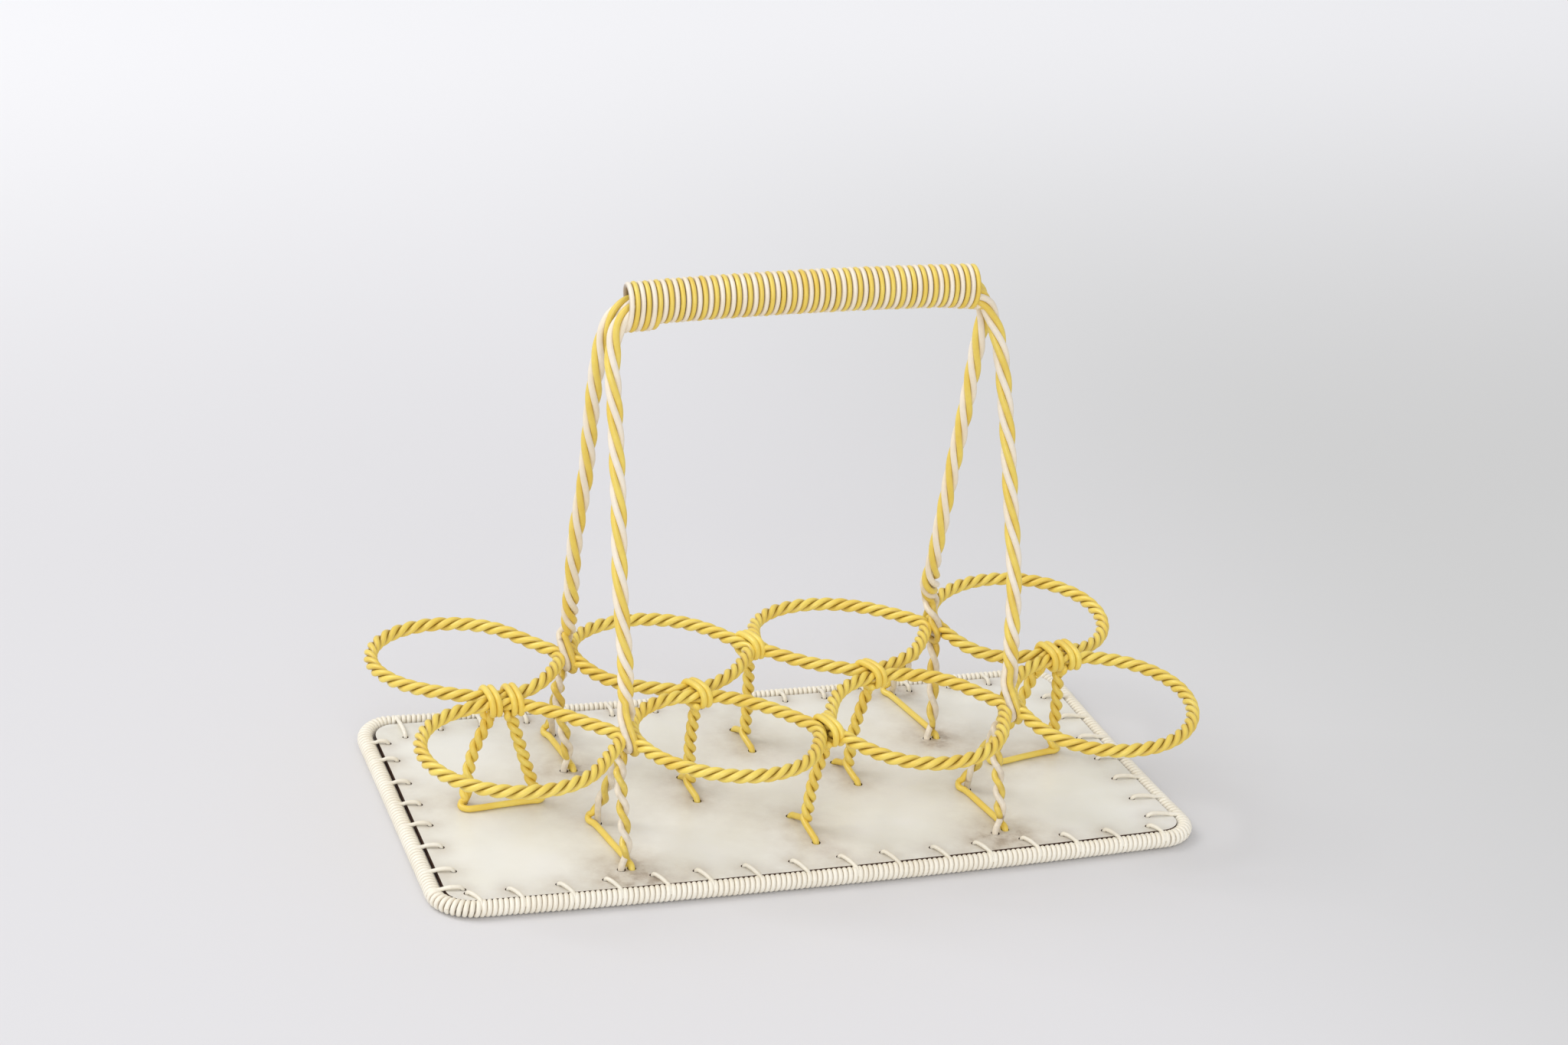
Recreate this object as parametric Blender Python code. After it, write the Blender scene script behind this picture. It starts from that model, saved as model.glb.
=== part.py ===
"""Wire glass carrier for eight glasses.

A hardboard base is laced with cord to a wound wire rim. Eight rings of wire rope, two rows of four, are lashed
to each other and stand on wire legs. Two hoops rise between the rings, lean together and run side by side
through a grip that is wound with cord in two colours. All sizes are in metres, with the table at z = 0.
"""
import math

import bmesh
import bpy
from mathutils import Vector

CLEARANCE = 0.0003
FLAT_CUT = 0.0004

# The glasses and their rings
RING_RADIUS = 0.0358
RING_HEIGHT = 0.0495
ROPE_RADIUS = 0.0028
COLUMN_PITCH = 0.0785
ROW_PITCH = 0.0765
COLUMNS = 4
RING_POINTS = 24

# The base and its rim
PLATE_BOTTOM = 0.0030
PLATE_THICKNESS = 0.0029
PLATE_TOP = PLATE_BOTTOM + PLATE_THICKNESS
RIM_RADIUS = 0.0035
RIM_CORE_RADIUS = 0.0013
RIM_CORNER = 0.014
RIM_OUTSET_X = 0.0001
RIM_OUTSET_Y = 0.0010
RIM_GAP = 0.0013
RIM_Z = RIM_RADIUS - FLAT_CUT
RIM_HALF_X = COLUMN_PITCH * (COLUMNS - 1) / 2 + RING_RADIUS + RIM_OUTSET_X
RIM_HALF_Y = ROW_PITCH / 2 + RING_RADIUS + RIM_OUTSET_Y
PLATE_HALF_X = RIM_HALF_X - RIM_RADIUS - RIM_GAP
PLATE_HALF_Y = RIM_HALF_Y - RIM_RADIUS - RIM_GAP
PLATE_CORNER = RIM_CORNER - RIM_RADIUS - RIM_GAP

# The lacing between base and rim: how far each row of holes lies inside the edge, and its holes
CORD_RADIUS = 0.00105
LACE_INSET = {"front": 0.0066, "back": 0.0040, "left": 0.0048, "right": 0.0105}
LACE_COUNT = {"front": 16, "back": 15, "left": 7, "right": 7}
LACE_SLANT = 0.0030

# The lashings that hold two rings together, and their legs
WIRE_RADIUS = 0.0013
LEG_RADIUS = 0.0023
LASHING_PITCH = 0.0031
LASHING_POINTS = 10
SINGLE_TURNS = 3
DOUBLE_TURNS = 2
DOUBLE_OFFSET = 0.0052
DOUBLE_SPREAD = 0.0155
SINGLE_SPREAD = 0.0100
TAIL_LENGTH = 0.007

# The handle: two hoops of two wire pairs each, and the wound grip
PAIR_RADIUS = 0.0015
PAIR_TWIST_RADIUS = PAIR_RADIUS + 0.00016
UPRIGHT_TURNS = 3.25
UPRIGHT_POINTS = 26
HOOP_SPLIT = 0.014
HOOP_BOW = 0.0025
HOOP_FOOT_SPREAD = 0.0190
HOOP_FOOT_SHIFT = -0.0030
GRIP_HEIGHT = 0.2135
GRIP_HALF = 0.0690
GRIP_SHIFT = -0.0042
GRIP_BEND = 0.020
GRIP_TURNS = 24
GRIP_POINTS = 10

YELLOW = (0.83, 0.60, 0.09)
CREAM = (0.86, 0.79, 0.66)
BOARD = (0.74, 0.70, 0.61)


def clear_scene():
    """Remove every object the file starts with."""
    for old in list(bpy.data.objects):
        bpy.data.objects.remove(old, do_unlink=True)


def paint(obj, colour, roughness):
    """Give an object its own plastic or paint material."""
    material = bpy.data.materials.new(obj.name + "_finish")
    material.use_nodes = True
    shader = material.node_tree.nodes["Principled BSDF"]
    shader.inputs["Base Color"].default_value = (*colour, 1.0)
    shader.inputs["Roughness"].default_value = roughness
    shader.inputs["Metallic"].default_value = 0.0
    obj.data.materials.append(material)


def add_tube(name, points, radius, detail, closed=False, scales=None):
    """Add a round tube along points; detail 0, 1 or 2 gives it 4, 6 or 8 sides."""
    curve = bpy.data.curves.new(name, "CURVE")
    curve.dimensions = "3D"
    curve.twist_mode = "MINIMUM"
    curve.resolution_u = 1
    curve.render_resolution_u = 0
    curve.bevel_depth = radius
    curve.bevel_resolution = detail
    curve.use_fill_caps = not closed
    spline = curve.splines.new("POLY")
    spline.points.add(len(points) - 1)
    for index, point in enumerate(points):
        spline.points[index].co = (*point, 1.0)
        spline.points[index].radius = scales[index] if scales else 1.0
    spline.use_cyclic_u = closed
    obj = bpy.data.objects.new(name, curve)
    bpy.context.scene.collection.objects.link(obj)
    return obj


def as_mesh(obj):
    """Replace a curve object by a mesh object of the same name and shape."""
    name = obj.name
    bpy.context.view_layer.update()
    evaluated = obj.evaluated_get(bpy.context.evaluated_depsgraph_get())
    mesh = bpy.data.meshes.new_from_object(evaluated)
    mesh.materials.clear()
    bpy.data.objects.remove(obj, do_unlink=True)
    made = bpy.data.objects.new(name, mesh)
    bpy.context.scene.collection.objects.link(made)
    return made


def combine(obj, tool, operation):
    """Cut a tool from a mesh object, or fuse it on, and hide the tool."""
    modifier = obj.modifiers.new(operation.title(), "BOOLEAN")
    modifier.operation = operation
    modifier.solver = "EXACT"
    modifier.object = tool
    tool.hide_render = True
    tool.display_type = "WIRE"


def tool_mesh(name, bm):
    """Turn a bmesh into a mesh object."""
    mesh = bpy.data.meshes.new(name)
    bm.to_mesh(mesh)
    bm.free()
    obj = bpy.data.objects.new(name, mesh)
    bpy.context.scene.collection.objects.link(obj)
    return obj


def least_gap(name, points, radius, turn_points):
    """Print the least gap between a wound tube's own turns, measured on its points."""
    step = max(3, turn_points // 2)
    gaps = []
    for first in range(len(points)):
        for second in range(first + step, len(points)):
            gaps.append((points[first] - points[second]).length)
    print(f"{name}: least gap to itself {(min(gaps) - 2 * radius) * 1000:.2f} mm")


def rounded_rectangle(half_x, half_y, corner, z, corner_steps):
    """Return the points of a rounded rectangle, one corner after the other from the right back."""
    points = []
    for index, (side_x, side_y) in enumerate(((1, 1), (-1, 1), (-1, -1), (1, -1))):
        centre = Vector((side_x * (half_x - corner), side_y * (half_y - corner), z))
        for step in range(corner_steps + 1):
            angle = math.radians(90 * index + 90 * step / corner_steps)
            points.append(centre + Vector((math.cos(angle), math.sin(angle), 0)) * corner)
    return points


def ring_centre(column, row):
    """Return a ring's centre; row 0 is the front one."""
    x = (column - (COLUMNS - 1) / 2) * COLUMN_PITCH
    y = (row - 0.5) * ROW_PITCH
    return Vector((x, y, RING_HEIGHT))


def ring_reach(angle, column, row):
    """Return a ring's half width and half depth at an angle; towards a neighbour it reaches until ropes meet."""
    half_width = half_depth = RING_RADIUS
    right = math.cos(angle) > 0
    if (right and column < COLUMNS - 1) or (not right and column > 0):
        half_width = COLUMN_PITCH / 2 - ROPE_RADIUS - CLEARANCE / 2
    back = math.sin(angle) > 0
    if back == (row == 0):
        half_depth = ROW_PITCH / 2 - ROPE_RADIUS - CLEARANCE / 2
    return half_width, half_depth


def make_rings():
    """Bend the eight rope rings."""
    for row, row_name in enumerate(("front", "back")):
        for column in range(COLUMNS):
            centre = ring_centre(column, row)
            points = []
            for step in range(RING_POINTS):
                angle = 2 * math.pi * step / RING_POINTS
                half_width, half_depth = ring_reach(angle, column, row)
                points.append(centre + Vector((math.cos(angle) * half_width, math.sin(angle) * half_depth, 0)))
            ring = add_tube(f"ring_{row_name}_{column + 1}", points, ROPE_RADIUS, 2, closed=True)
            paint(ring, YELLOW, 0.4)


def spaced(low, high, count):
    """Return count evenly spaced values from low to high."""
    return [low + (high - low) * step / (count - 1) for step in range(count)]


def lace_holes():
    """Return, for each side, the places of its lacing holes and the way out to the rim."""
    inset = LACE_INSET
    left = -PLATE_HALF_X + inset["left"]
    right = PLATE_HALF_X - inset["right"]
    front = -PLATE_HALF_Y + inset["front"]
    back = PLATE_HALF_Y - inset["back"]
    pitch = (right - left) / LACE_COUNT["front"]
    sides = {}
    sides["front"] = [(x, front) for x in spaced(left, right - pitch / 3, LACE_COUNT["front"])]
    sides["back"] = [(x, back) for x in spaced(left + pitch, right - pitch / 2, LACE_COUNT["back"])]
    sides["left"] = [(left, y) for y in spaced(front + pitch, back - pitch / 2, LACE_COUNT["left"])]
    sides["right"] = [(right, y) for y in spaced(front + pitch / 2, back - pitch / 2, LACE_COUNT["right"])]
    return sides


def leg_places():
    """Return each leg's holes: single lashing legs, double lashing legs and hoop feet."""
    singles = {}
    middle = COLUMN_PITCH
    singles["back_middle"] = (0.0, ROW_PITCH / 2, "y")
    singles["front_middle"] = (0.0, -ROW_PITCH / 2, "y")
    singles["inner_left"] = (-middle / 2, 0.0, "x")
    singles["inner_right"] = (middle / 2, 0.0, "x")
    doubles = {"outer_left": (-middle * 1.5, 0.0), "outer_right": (middle * 1.5, 0.0)}
    hoops = {}
    for row, row_name in enumerate(("front", "back")):
        for side, side_name in ((-1, "left"), (1, "right")):
            hoops[row_name, side_name] = (side * middle, (row - 0.5) * ROW_PITCH)
    return singles, doubles, hoops


def foot_y(y, way):
    """Return where a hoop's pair meets the base, in front of or behind its junction."""
    return y + way * HOOP_FOOT_SPREAD


def wire_holes():
    """Return every hole that a leg's wire passes, with the wire's radius."""
    singles, doubles, hoops = leg_places()
    holes = []
    for x, y, _ in singles.values():
        for way in (-1, 1):
            holes.append((x, y + way * SINGLE_SPREAD, WIRE_RADIUS))
    for x, y in doubles.values():
        for way in (-1, 1):
            holes.append((x + way * DOUBLE_SPREAD, y, WIRE_RADIUS))
    for x, y in hoops.values():
        for way in (-1, 1):
            holes.append((x + HOOP_FOOT_SHIFT, foot_y(y, way), WIRE_RADIUS))
    return holes


def drill(bm, x, y, radius, sides):
    """Add one drill of the base's cutter."""
    length = PLATE_THICKNESS + 0.004
    place = bmesh.ops.create_cone(bm, cap_ends=True, segments=sides, radius1=radius, radius2=radius, depth=length)
    offset = Vector((x, y, PLATE_BOTTOM + PLATE_THICKNESS / 2))
    bmesh.ops.translate(bm, verts=place["verts"], vec=offset)


def make_base():
    """Make the hardboard base with its lacing holes and wire holes."""
    bm = bmesh.new()
    outline = rounded_rectangle(PLATE_HALF_X, PLATE_HALF_Y, PLATE_CORNER, PLATE_BOTTOM, 5)
    face = bm.faces.new([bm.verts.new(point) for point in outline])
    grown = bmesh.ops.extrude_face_region(bm, geom=[face])
    top = [item for item in grown["geom"] if isinstance(item, bmesh.types.BMVert)]
    bmesh.ops.translate(bm, verts=top, vec=(0, 0, PLATE_THICKNESS))
    bmesh.ops.recalc_face_normals(bm, faces=bm.faces)
    base = tool_mesh("base_plate", bm)
    drills = bmesh.new()
    for places in lace_holes().values():
        for x, y in places:
            drill(drills, x, y, CORD_RADIUS + CLEARANCE * 1.5, 6)
    for x, y, radius in wire_holes():
        drill(drills, x, y, radius + CLEARANCE * 2, 8)
    combine(base, tool_mesh("cut_holes", drills), "DIFFERENCE")
    paint(base, BOARD, 0.5)


def lace_points(side, x, y):
    """Return one stitch of the lacing, from inside its hole over the base's edge into the rim winding."""
    out = {"front": (0, -1), "back": (0, 1), "left": (-1, 0), "right": (1, 0)}[side]
    along = Vector((-out[1], out[0], 0))
    hole = Vector((x, y, 0))
    away = Vector((*out, 0))
    rim_line = RIM_HALF_X if side in ("left", "right") else RIM_HALF_Y
    reach = rim_line - abs(hole.dot(away))
    over = PLATE_TOP + CLEARANCE + CORD_RADIUS
    crest = RIM_Z + RIM_RADIUS - CORD_RADIUS * 0.9
    return [
        hole + Vector((0, 0, PLATE_BOTTOM + CLEARANCE)),
        hole + Vector((0, 0, over)),
        hole + away * (reach - RIM_RADIUS) + along * LACE_SLANT + Vector((0, 0, over + 0.0004)),
        hole + away * (reach - RIM_RADIUS * 0.2) + along * LACE_SLANT + Vector((0, 0, crest)),
    ]


def add_slab(name, top):
    """Add the block below the table that cuts the rim winding flat."""
    bm = bmesh.new()
    bmesh.ops.create_cube(bm, size=1.0)
    depth = 0.01
    bmesh.ops.scale(bm, verts=bm.verts, vec=(RIM_HALF_X * 3, RIM_HALF_Y * 3, depth))
    bmesh.ops.translate(bm, verts=bm.verts, vec=(0, 0, top - depth / 2))
    return tool_mesh(name, bm)


def make_rim():
    """Make the rim's wire and its cord winding, one length along each side, laced to the base."""
    steps = 5
    loop = rounded_rectangle(RIM_HALF_X, RIM_HALF_Y, RIM_CORNER, RIM_Z, steps)
    core = add_tube("rim_wire", loop, RIM_CORE_RADIUS, 1, closed=True)
    paint(core, CREAM, 0.5)
    holes = lace_holes()
    slab = add_slab("cut_flat", 0.0)
    count = len(loop)
    for index, side in enumerate(("back", "left", "front", "right")):
        first = index * (steps + 1) + steps // 2
        path = [loop[(first + step) % count] for step in range(steps + 3)]
        for end, near in ((0, 1), (-1, -2)):
            middle = (path[end] + path[near]) / 2
            path[end] = middle + (path[near] - middle).normalized() * CLEARANCE / 2
        winding = as_mesh(add_tube(f"rim_winding_{side}", path, RIM_RADIUS, 2))
        bore = list(path)
        bore[0] = bore[0] + (bore[0] - bore[1]).normalized() * 0.002
        bore[-1] = bore[-1] + (bore[-1] - bore[-2]).normalized() * 0.002
        for number, (x, y) in enumerate(holes[side]):
            stitch = as_mesh(add_tube(f"fuse_stitch_{side}_{number}", lace_points(side, x, y), CORD_RADIUS, 0))
            combine(winding, stitch, "UNION")
        combine(winding, as_mesh(add_tube(f"cut_bore_{side}", bore, RIM_CORE_RADIUS + CLEARANCE * 1.5, 2)), "DIFFERENCE")
        combine(winding, slab, "DIFFERENCE")
        paint(winding, CREAM, 0.45)


def lashing_points(centre, along, turns, offset):
    """Wind a wire round two ropes that meet at centre and run along a direction, its ends down to the leg."""
    across = Vector((0, 0, 1)).cross(along)
    half = ROPE_RADIUS + CLEARANCE / 2
    hug = (ROPE_RADIUS + CLEARANCE + WIRE_RADIUS) / math.cos(math.pi / 8)
    total = turns * LASHING_POINTS
    points = []
    for step in range(total + 1):
        turn = step / LASHING_POINTS
        run = offset + (turn - turns / 2) * LASHING_PITCH
        angle = 2 * math.pi * turn - math.pi / 2
        spread = run * run / (1.8 * RING_RADIUS)
        width = math.cos(angle) * hug + max(-1.0, min(1.0, 3.0 * math.cos(angle))) * (half + spread)
        points.append(centre + along * run + across * width + Vector((0, 0, math.sin(angle) * hug)))
    stub = 2 * WIRE_RADIUS
    ends = []
    for point, way in ((points[0], -1), (points[-1], 1)):
        down = point - Vector((0, 0, stub * 0.6))
        close = centre + along * (offset + way * (WIRE_RADIUS + CLEARANCE)) + Vector((0, 0, -hug - stub * 1.8))
        ends.append([down, close, close - Vector((0, 0, stub))])
    return list(reversed(ends[0])) + points + ends[1]


def leg_top():
    """Return how high a lashing's leg reaches, just under the lashing's wire ends."""
    hug = (ROPE_RADIUS + CLEARANCE + WIRE_RADIUS) / math.cos(math.pi / 8)
    return RING_HEIGHT - hug - WIRE_RADIUS * 2 * 2.8 - CLEARANCE


def foot_wire_points(first, second):
    """Return a wire from under the base up one hole, across the top and down the other hole."""
    under = PLATE_BOTTOM - CLEARANCE / 2 - WIRE_RADIUS
    over = PLATE_TOP + CLEARANCE + WIRE_RADIUS
    way = (second - first).normalized()
    return [
        first - way * TAIL_LENGTH + Vector((0, 0, under)),
        first + Vector((0, 0, under)),
        first + Vector((0, 0, over)),
        second + Vector((0, 0, over)),
        second + Vector((0, 0, under)),
        second + way * TAIL_LENGTH + Vector((0, 0, under)),
    ]


def add_foot_wire(name, first, second):
    """Add the wire that ties a leg to the base, from one hole to the other."""
    wire = add_tube(f"foot_wire_{name}", foot_wire_points(first, second), WIRE_RADIUS, 1)
    paint(wire, YELLOW, 0.4)


def add_leg(name, foot, head):
    """Add a leg from just over its foot wire to just under its lashing."""
    low = foot + Vector((0, 0, PLATE_TOP + 2 * WIRE_RADIUS + 2 * CLEARANCE))
    high = head + Vector((0, 0, leg_top()))
    upright = Vector((0, 0, LEG_RADIUS))
    leg = add_tube(f"leg_{name}", [low, low + upright, high - upright, high], LEG_RADIUS, 1)
    paint(leg, YELLOW, 0.4)


def make_lashings():
    """Make the lashings between the rings, the legs they stand on and the wires at the legs' feet."""
    singles, doubles, _ = leg_places()
    for name, (x, y, axis) in singles.items():
        middle = Vector((x, y, 0))
        spread = Vector((0, SINGLE_SPREAD, 0))
        along = Vector((1, 0, 0)) if axis == "x" else Vector((0, 1, 0))
        add_lashing(f"lashing_{name}", Vector((x, y, RING_HEIGHT)), along, SINGLE_TURNS, 0.0)
        add_leg(name, middle, middle)
        add_foot_wire(name, middle + spread, middle - spread)
    for name, (x, y) in doubles.items():
        ends = [Vector((x + way * DOUBLE_SPREAD, y, 0)) for way in (-1, 1)]
        add_foot_wire(name, *ends)
        for way, end, side in ((-1, ends[0], "a"), (1, ends[1], "b")):
            offset = way * DOUBLE_OFFSET
            centre = Vector((x, y, RING_HEIGHT))
            add_lashing(f"lashing_{name}_{side}", centre, Vector((1, 0, 0)), DOUBLE_TURNS, offset)
            add_leg(f"{name}_{side}", end, Vector((x + offset, y, 0)))


def add_lashing(name, centre, along, turns, offset):
    """Add one lashing and print its least gap to itself."""
    points = lashing_points(centre, along, turns, offset)
    least_gap(name, points, WIRE_RADIUS, LASHING_POINTS)
    lashing = add_tube(name, points, WIRE_RADIUS, 1)
    paint(lashing, YELLOW, 0.4)


def smooth_route(corners, count):
    """Return evenly spaced points of a smooth curve through the corners."""
    dense = []
    for index in range(len(corners) - 1):
        before = corners[max(index - 1, 0)]
        start, end = corners[index], corners[index + 1]
        after = corners[min(index + 2, len(corners) - 1)]
        for step in range(24):
            t = step / 24
            lean_in = (end - before) * 0.5
            lean_out = (after - start) * 0.5
            blend = (2 * t ** 3 - 3 * t ** 2 + 1) * start + (t ** 3 - 2 * t ** 2 + t) * lean_in
            dense.append(blend + (3 * t ** 2 - 2 * t ** 3) * end + (t ** 3 - t ** 2) * lean_out)
    dense.append(corners[-1])
    lengths = [0.0]
    for first, second in zip(dense, dense[1:]):
        lengths.append(lengths[-1] + (second - first).length)
    points = []
    index = 0
    for step in range(count):
        target = lengths[-1] * step / (count - 1)
        while index < len(dense) - 2 and lengths[index + 1] < target:
            index += 1
        part = (target - lengths[index]) / (lengths[index + 1] - lengths[index])
        points.append(dense[index].lerp(dense[index + 1], part))
    return points


def upright_points(side, y, phase):
    """Return one pair of a hoop from its split above the rings, twisting up and round into the grip."""
    x = side * COLUMN_PITCH
    lane = math.copysign(2 * PAIR_TWIST_RADIUS + CLEARANCE / 2, y)
    split = Vector((x, y * 0.90, RING_HEIGHT + HOOP_SPLIT))
    waist = Vector((x + side * HOOP_BOW, y * 0.45, (RING_HEIGHT + GRIP_HEIGHT) / 2))
    middle = Vector((GRIP_SHIFT, lane, GRIP_HEIGHT))
    shoulder = middle + Vector((side * (GRIP_HALF + GRIP_BEND * 0.55), lane * 0.3, -GRIP_BEND * 1.3))
    crown = middle + Vector((side * (GRIP_HALF + GRIP_BEND * 0.32), 0, -GRIP_BEND * 0.32))
    mouth = middle + Vector((side * (GRIP_HALF - 0.001), 0, 0))
    inside = middle + Vector((side * (GRIP_HALF - GRIP_BEND * 0.5), 0, 0))
    route = smooth_route([split, waist, shoulder, crown, mouth, inside], UPRIGHT_POINTS)
    points = []
    for index, point in enumerate(route):
        ahead = route[min(index + 1, len(route) - 1)]
        behind = route[max(index - 1, 0)]
        tangent = (ahead - behind).normalized()
        depth = Vector((0, 1, 0))
        depth = (depth - tangent * depth.dot(tangent)).normalized()
        width = depth.cross(tangent)
        share = min(1.0, index / (len(route) - 3))
        angle = phase - 2 * math.pi * UPRIGHT_TURNS * share
        points.append(point + (width * math.cos(angle) + depth * math.sin(angle)) * PAIR_TWIST_RADIUS)
    return points


def hoop_end_points(side, y, phase):
    """Return one pair of a hoop below its split: past the ring ropes and down through the base."""
    x = side * COLUMN_PITCH
    way = side if phase == 0 else -side
    beside = x + way * side * (2 * ROPE_RADIUS + 2.5 * CLEARANCE + PAIR_RADIUS)
    foot = Vector((x + HOOP_FOOT_SHIFT, foot_y(y, way), 0))
    under = PLATE_BOTTOM - CLEARANCE / 2 - WIRE_RADIUS
    over = PLATE_TOP + 0.003
    level = Vector((beside, y, RING_HEIGHT))
    return [
        level + Vector((0, 0, ROPE_RADIUS * 1.6)),
        level,
        level - Vector((0, 0, ROPE_RADIUS * 1.4)),
        foot + Vector((0, 0, over)),
        foot + Vector((0, 0, PLATE_TOP)),
        foot + Vector((0, 0, under)),
        foot + Vector((0, way * TAIL_LENGTH, under)),
    ]


def make_hoops():
    """Make the two hoops, each of two pairs that run from foot to foot, and the wires between their feet."""
    narrow = WIRE_RADIUS / PAIR_RADIUS
    for row_name, y in (("front", -ROW_PITCH / 2), ("back", ROW_PITCH / 2)):
        for pair_name, phase, colour in (("yellow", 0.0, YELLOW), ("cream", math.pi, CREAM)):
            halves = []
            for side in (-1, 1):
                ends = hoop_end_points(side, y, phase)
                halves.append(list(reversed(ends)) + upright_points(side, y, phase))
            points = halves[0] + list(reversed(halves[1]))
            scales = [1.0] * len(points)
            for index in (0, 1, 2, -1, -2, -3):
                scales[index] = narrow
            hoop = add_tube(f"hoop_{row_name}_{pair_name}", points, PAIR_RADIUS, 1, scales=scales)
            paint(hoop, colour, 0.4)
        for side, side_name in ((-1, "left"), (1, "right")):
            x = side * COLUMN_PITCH + HOOP_FOOT_SHIFT
            z = PLATE_TOP + CLEARANCE + WIRE_RADIUS
            reach = HOOP_FOOT_SPREAD - PAIR_RADIUS - 2 * CLEARANCE
            ends = [Vector((x, y - reach, z)), Vector((x, y + reach, z))]
            wire = add_tube(f"foot_wire_{row_name}_{side_name}", ends, WIRE_RADIUS, 1)
            paint(wire, YELLOW, 0.4)


def grip_points(start):
    """Return one of the two cords wound round the hoops, from a starting angle."""
    inside = 4 * PAIR_TWIST_RADIUS + CLEARANCE / 2 + PAIR_RADIUS - PAIR_TWIST_RADIUS + CLEARANCE
    radius = (inside + CORD_RADIUS) / math.cos(math.pi / GRIP_POINTS)
    total = GRIP_TURNS * GRIP_POINTS
    length = 2 * (GRIP_HALF - CORD_RADIUS)
    points = []
    for step in range(total + 1):
        angle = start + 2 * math.pi * step / GRIP_POINTS
        x = GRIP_SHIFT - length / 2 + length * step / total
        points.append(Vector((x, math.cos(angle) * radius, GRIP_HEIGHT - math.sin(angle) * radius)))
    return points


def make_grip():
    """Wind the grip with a yellow and a cream cord, turn beside turn."""
    for name, start, colour in (("yellow", 0.0, YELLOW), ("cream", math.pi, CREAM)):
        points = grip_points(start)
        least_gap(f"grip_{name}", points, CORD_RADIUS, GRIP_POINTS)
        cord = add_tube(f"grip_winding_{name}", points, CORD_RADIUS, 0)
        paint(cord, colour, 0.4)


def main():
    """Build the whole carrier."""
    clear_scene()
    make_base()
    make_rim()
    make_rings()
    make_lashings()
    make_hoops()
    make_grip()


main()
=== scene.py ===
"""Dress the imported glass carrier: laid wire rope, lashings, a wound rim and grip, and a painted board."""
import logging
import math
from dataclasses import dataclass, field
from enum import Enum

import bpy
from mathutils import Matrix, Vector
from mathutils.kdtree import KDTree


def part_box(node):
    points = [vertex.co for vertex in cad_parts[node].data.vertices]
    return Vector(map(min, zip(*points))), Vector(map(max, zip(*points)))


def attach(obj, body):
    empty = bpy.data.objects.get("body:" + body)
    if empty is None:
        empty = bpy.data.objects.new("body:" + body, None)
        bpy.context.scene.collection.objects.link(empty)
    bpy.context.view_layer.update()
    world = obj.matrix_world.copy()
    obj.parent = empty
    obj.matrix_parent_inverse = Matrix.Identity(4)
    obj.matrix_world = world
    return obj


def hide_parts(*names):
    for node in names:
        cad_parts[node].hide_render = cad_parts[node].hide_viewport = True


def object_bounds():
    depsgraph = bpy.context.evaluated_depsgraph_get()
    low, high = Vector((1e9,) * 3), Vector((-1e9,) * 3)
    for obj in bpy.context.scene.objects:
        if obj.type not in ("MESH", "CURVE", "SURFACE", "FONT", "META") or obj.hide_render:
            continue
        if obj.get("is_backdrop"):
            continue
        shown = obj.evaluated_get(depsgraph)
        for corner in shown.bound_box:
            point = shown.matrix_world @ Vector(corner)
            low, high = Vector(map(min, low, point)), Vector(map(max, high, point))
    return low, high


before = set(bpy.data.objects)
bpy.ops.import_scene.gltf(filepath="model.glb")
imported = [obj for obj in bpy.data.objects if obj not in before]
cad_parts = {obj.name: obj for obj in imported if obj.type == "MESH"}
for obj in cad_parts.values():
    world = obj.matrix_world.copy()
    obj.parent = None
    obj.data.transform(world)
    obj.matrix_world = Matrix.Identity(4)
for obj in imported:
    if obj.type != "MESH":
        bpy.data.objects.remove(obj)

Pair = tuple[float, float]
Triple = tuple[float, float, float]
Socket = bpy.types.NodeSocket

LOG = logging.getLogger("glass_carrier")
MM = 0.001
BODY = "root"

RIGHT = Vector((1, 0, 0))
BACK = Vector((0, 1, 0))
UP = Vector((0, 0, 1))
WIRE_RADIUS = 1.3 * MM
# The heights of the board's faces and of the middle of the rings' ropes, from the frame
BOARD_BOTTOM, BOARD_TOP = (corner.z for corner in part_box("base_plate"))
RING_HEIGHT = sum(corner.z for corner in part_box("ring_front_1")) / 2
# Wire ends stop this high, just below the board, and a wire on the board has its middle at FLOOR
ENDS = BOARD_BOTTOM - 0.2 * MM
FLOOR = BOARD_TOP + WIRE_RADIUS
# Every rope is laid like the middle of an S, so this is one full turn of it
LAY_TURN = -2 * math.pi
# Points on each stretch between two corners, before a line is spaced evenly
STRETCH_POINTS = 32
# Nearly all values of a noise pattern lie between these
NOISE_LOW = 0.3
NOISE_HIGH = 0.7
# Above this height, within so much, hands and glasses keep all but a share of the grime off the wires
CLEAN_HEIGHT = 58 * MM
CLEAN_BLEND = 4 * MM
CLEAN_SHARE = 0.25


class Slot(Enum):
    """The record's material slots."""

    YELLOW = "yellow_wire"
    CREAM = "cream_cord"
    BOARD = "board"


class Side(Enum):
    """The sides of the carrier, as its pieces' names give them."""

    BACK = "back"
    LEFT = "left"
    FRONT = "front"
    RIGHT = "right"


def spot(pair: Pair, height: float = 0.0) -> Vector:
    """Return a point given in millimetres seen from above, at a height in metres."""
    return Vector((pair[0] * MM, pair[1] * MM, height))


def up(height: float) -> Vector:
    """Return the way straight up, so many metres long."""
    return Vector((0, 0, height))


def offset(base: Vector, ways: tuple[Vector, ...], amounts: tuple[float, ...]) -> Vector:
    """Return the point that lies so many millimetres along each way from a base."""
    return sum((way * amount * MM for way, amount in zip(ways, amounts)), base)


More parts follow.
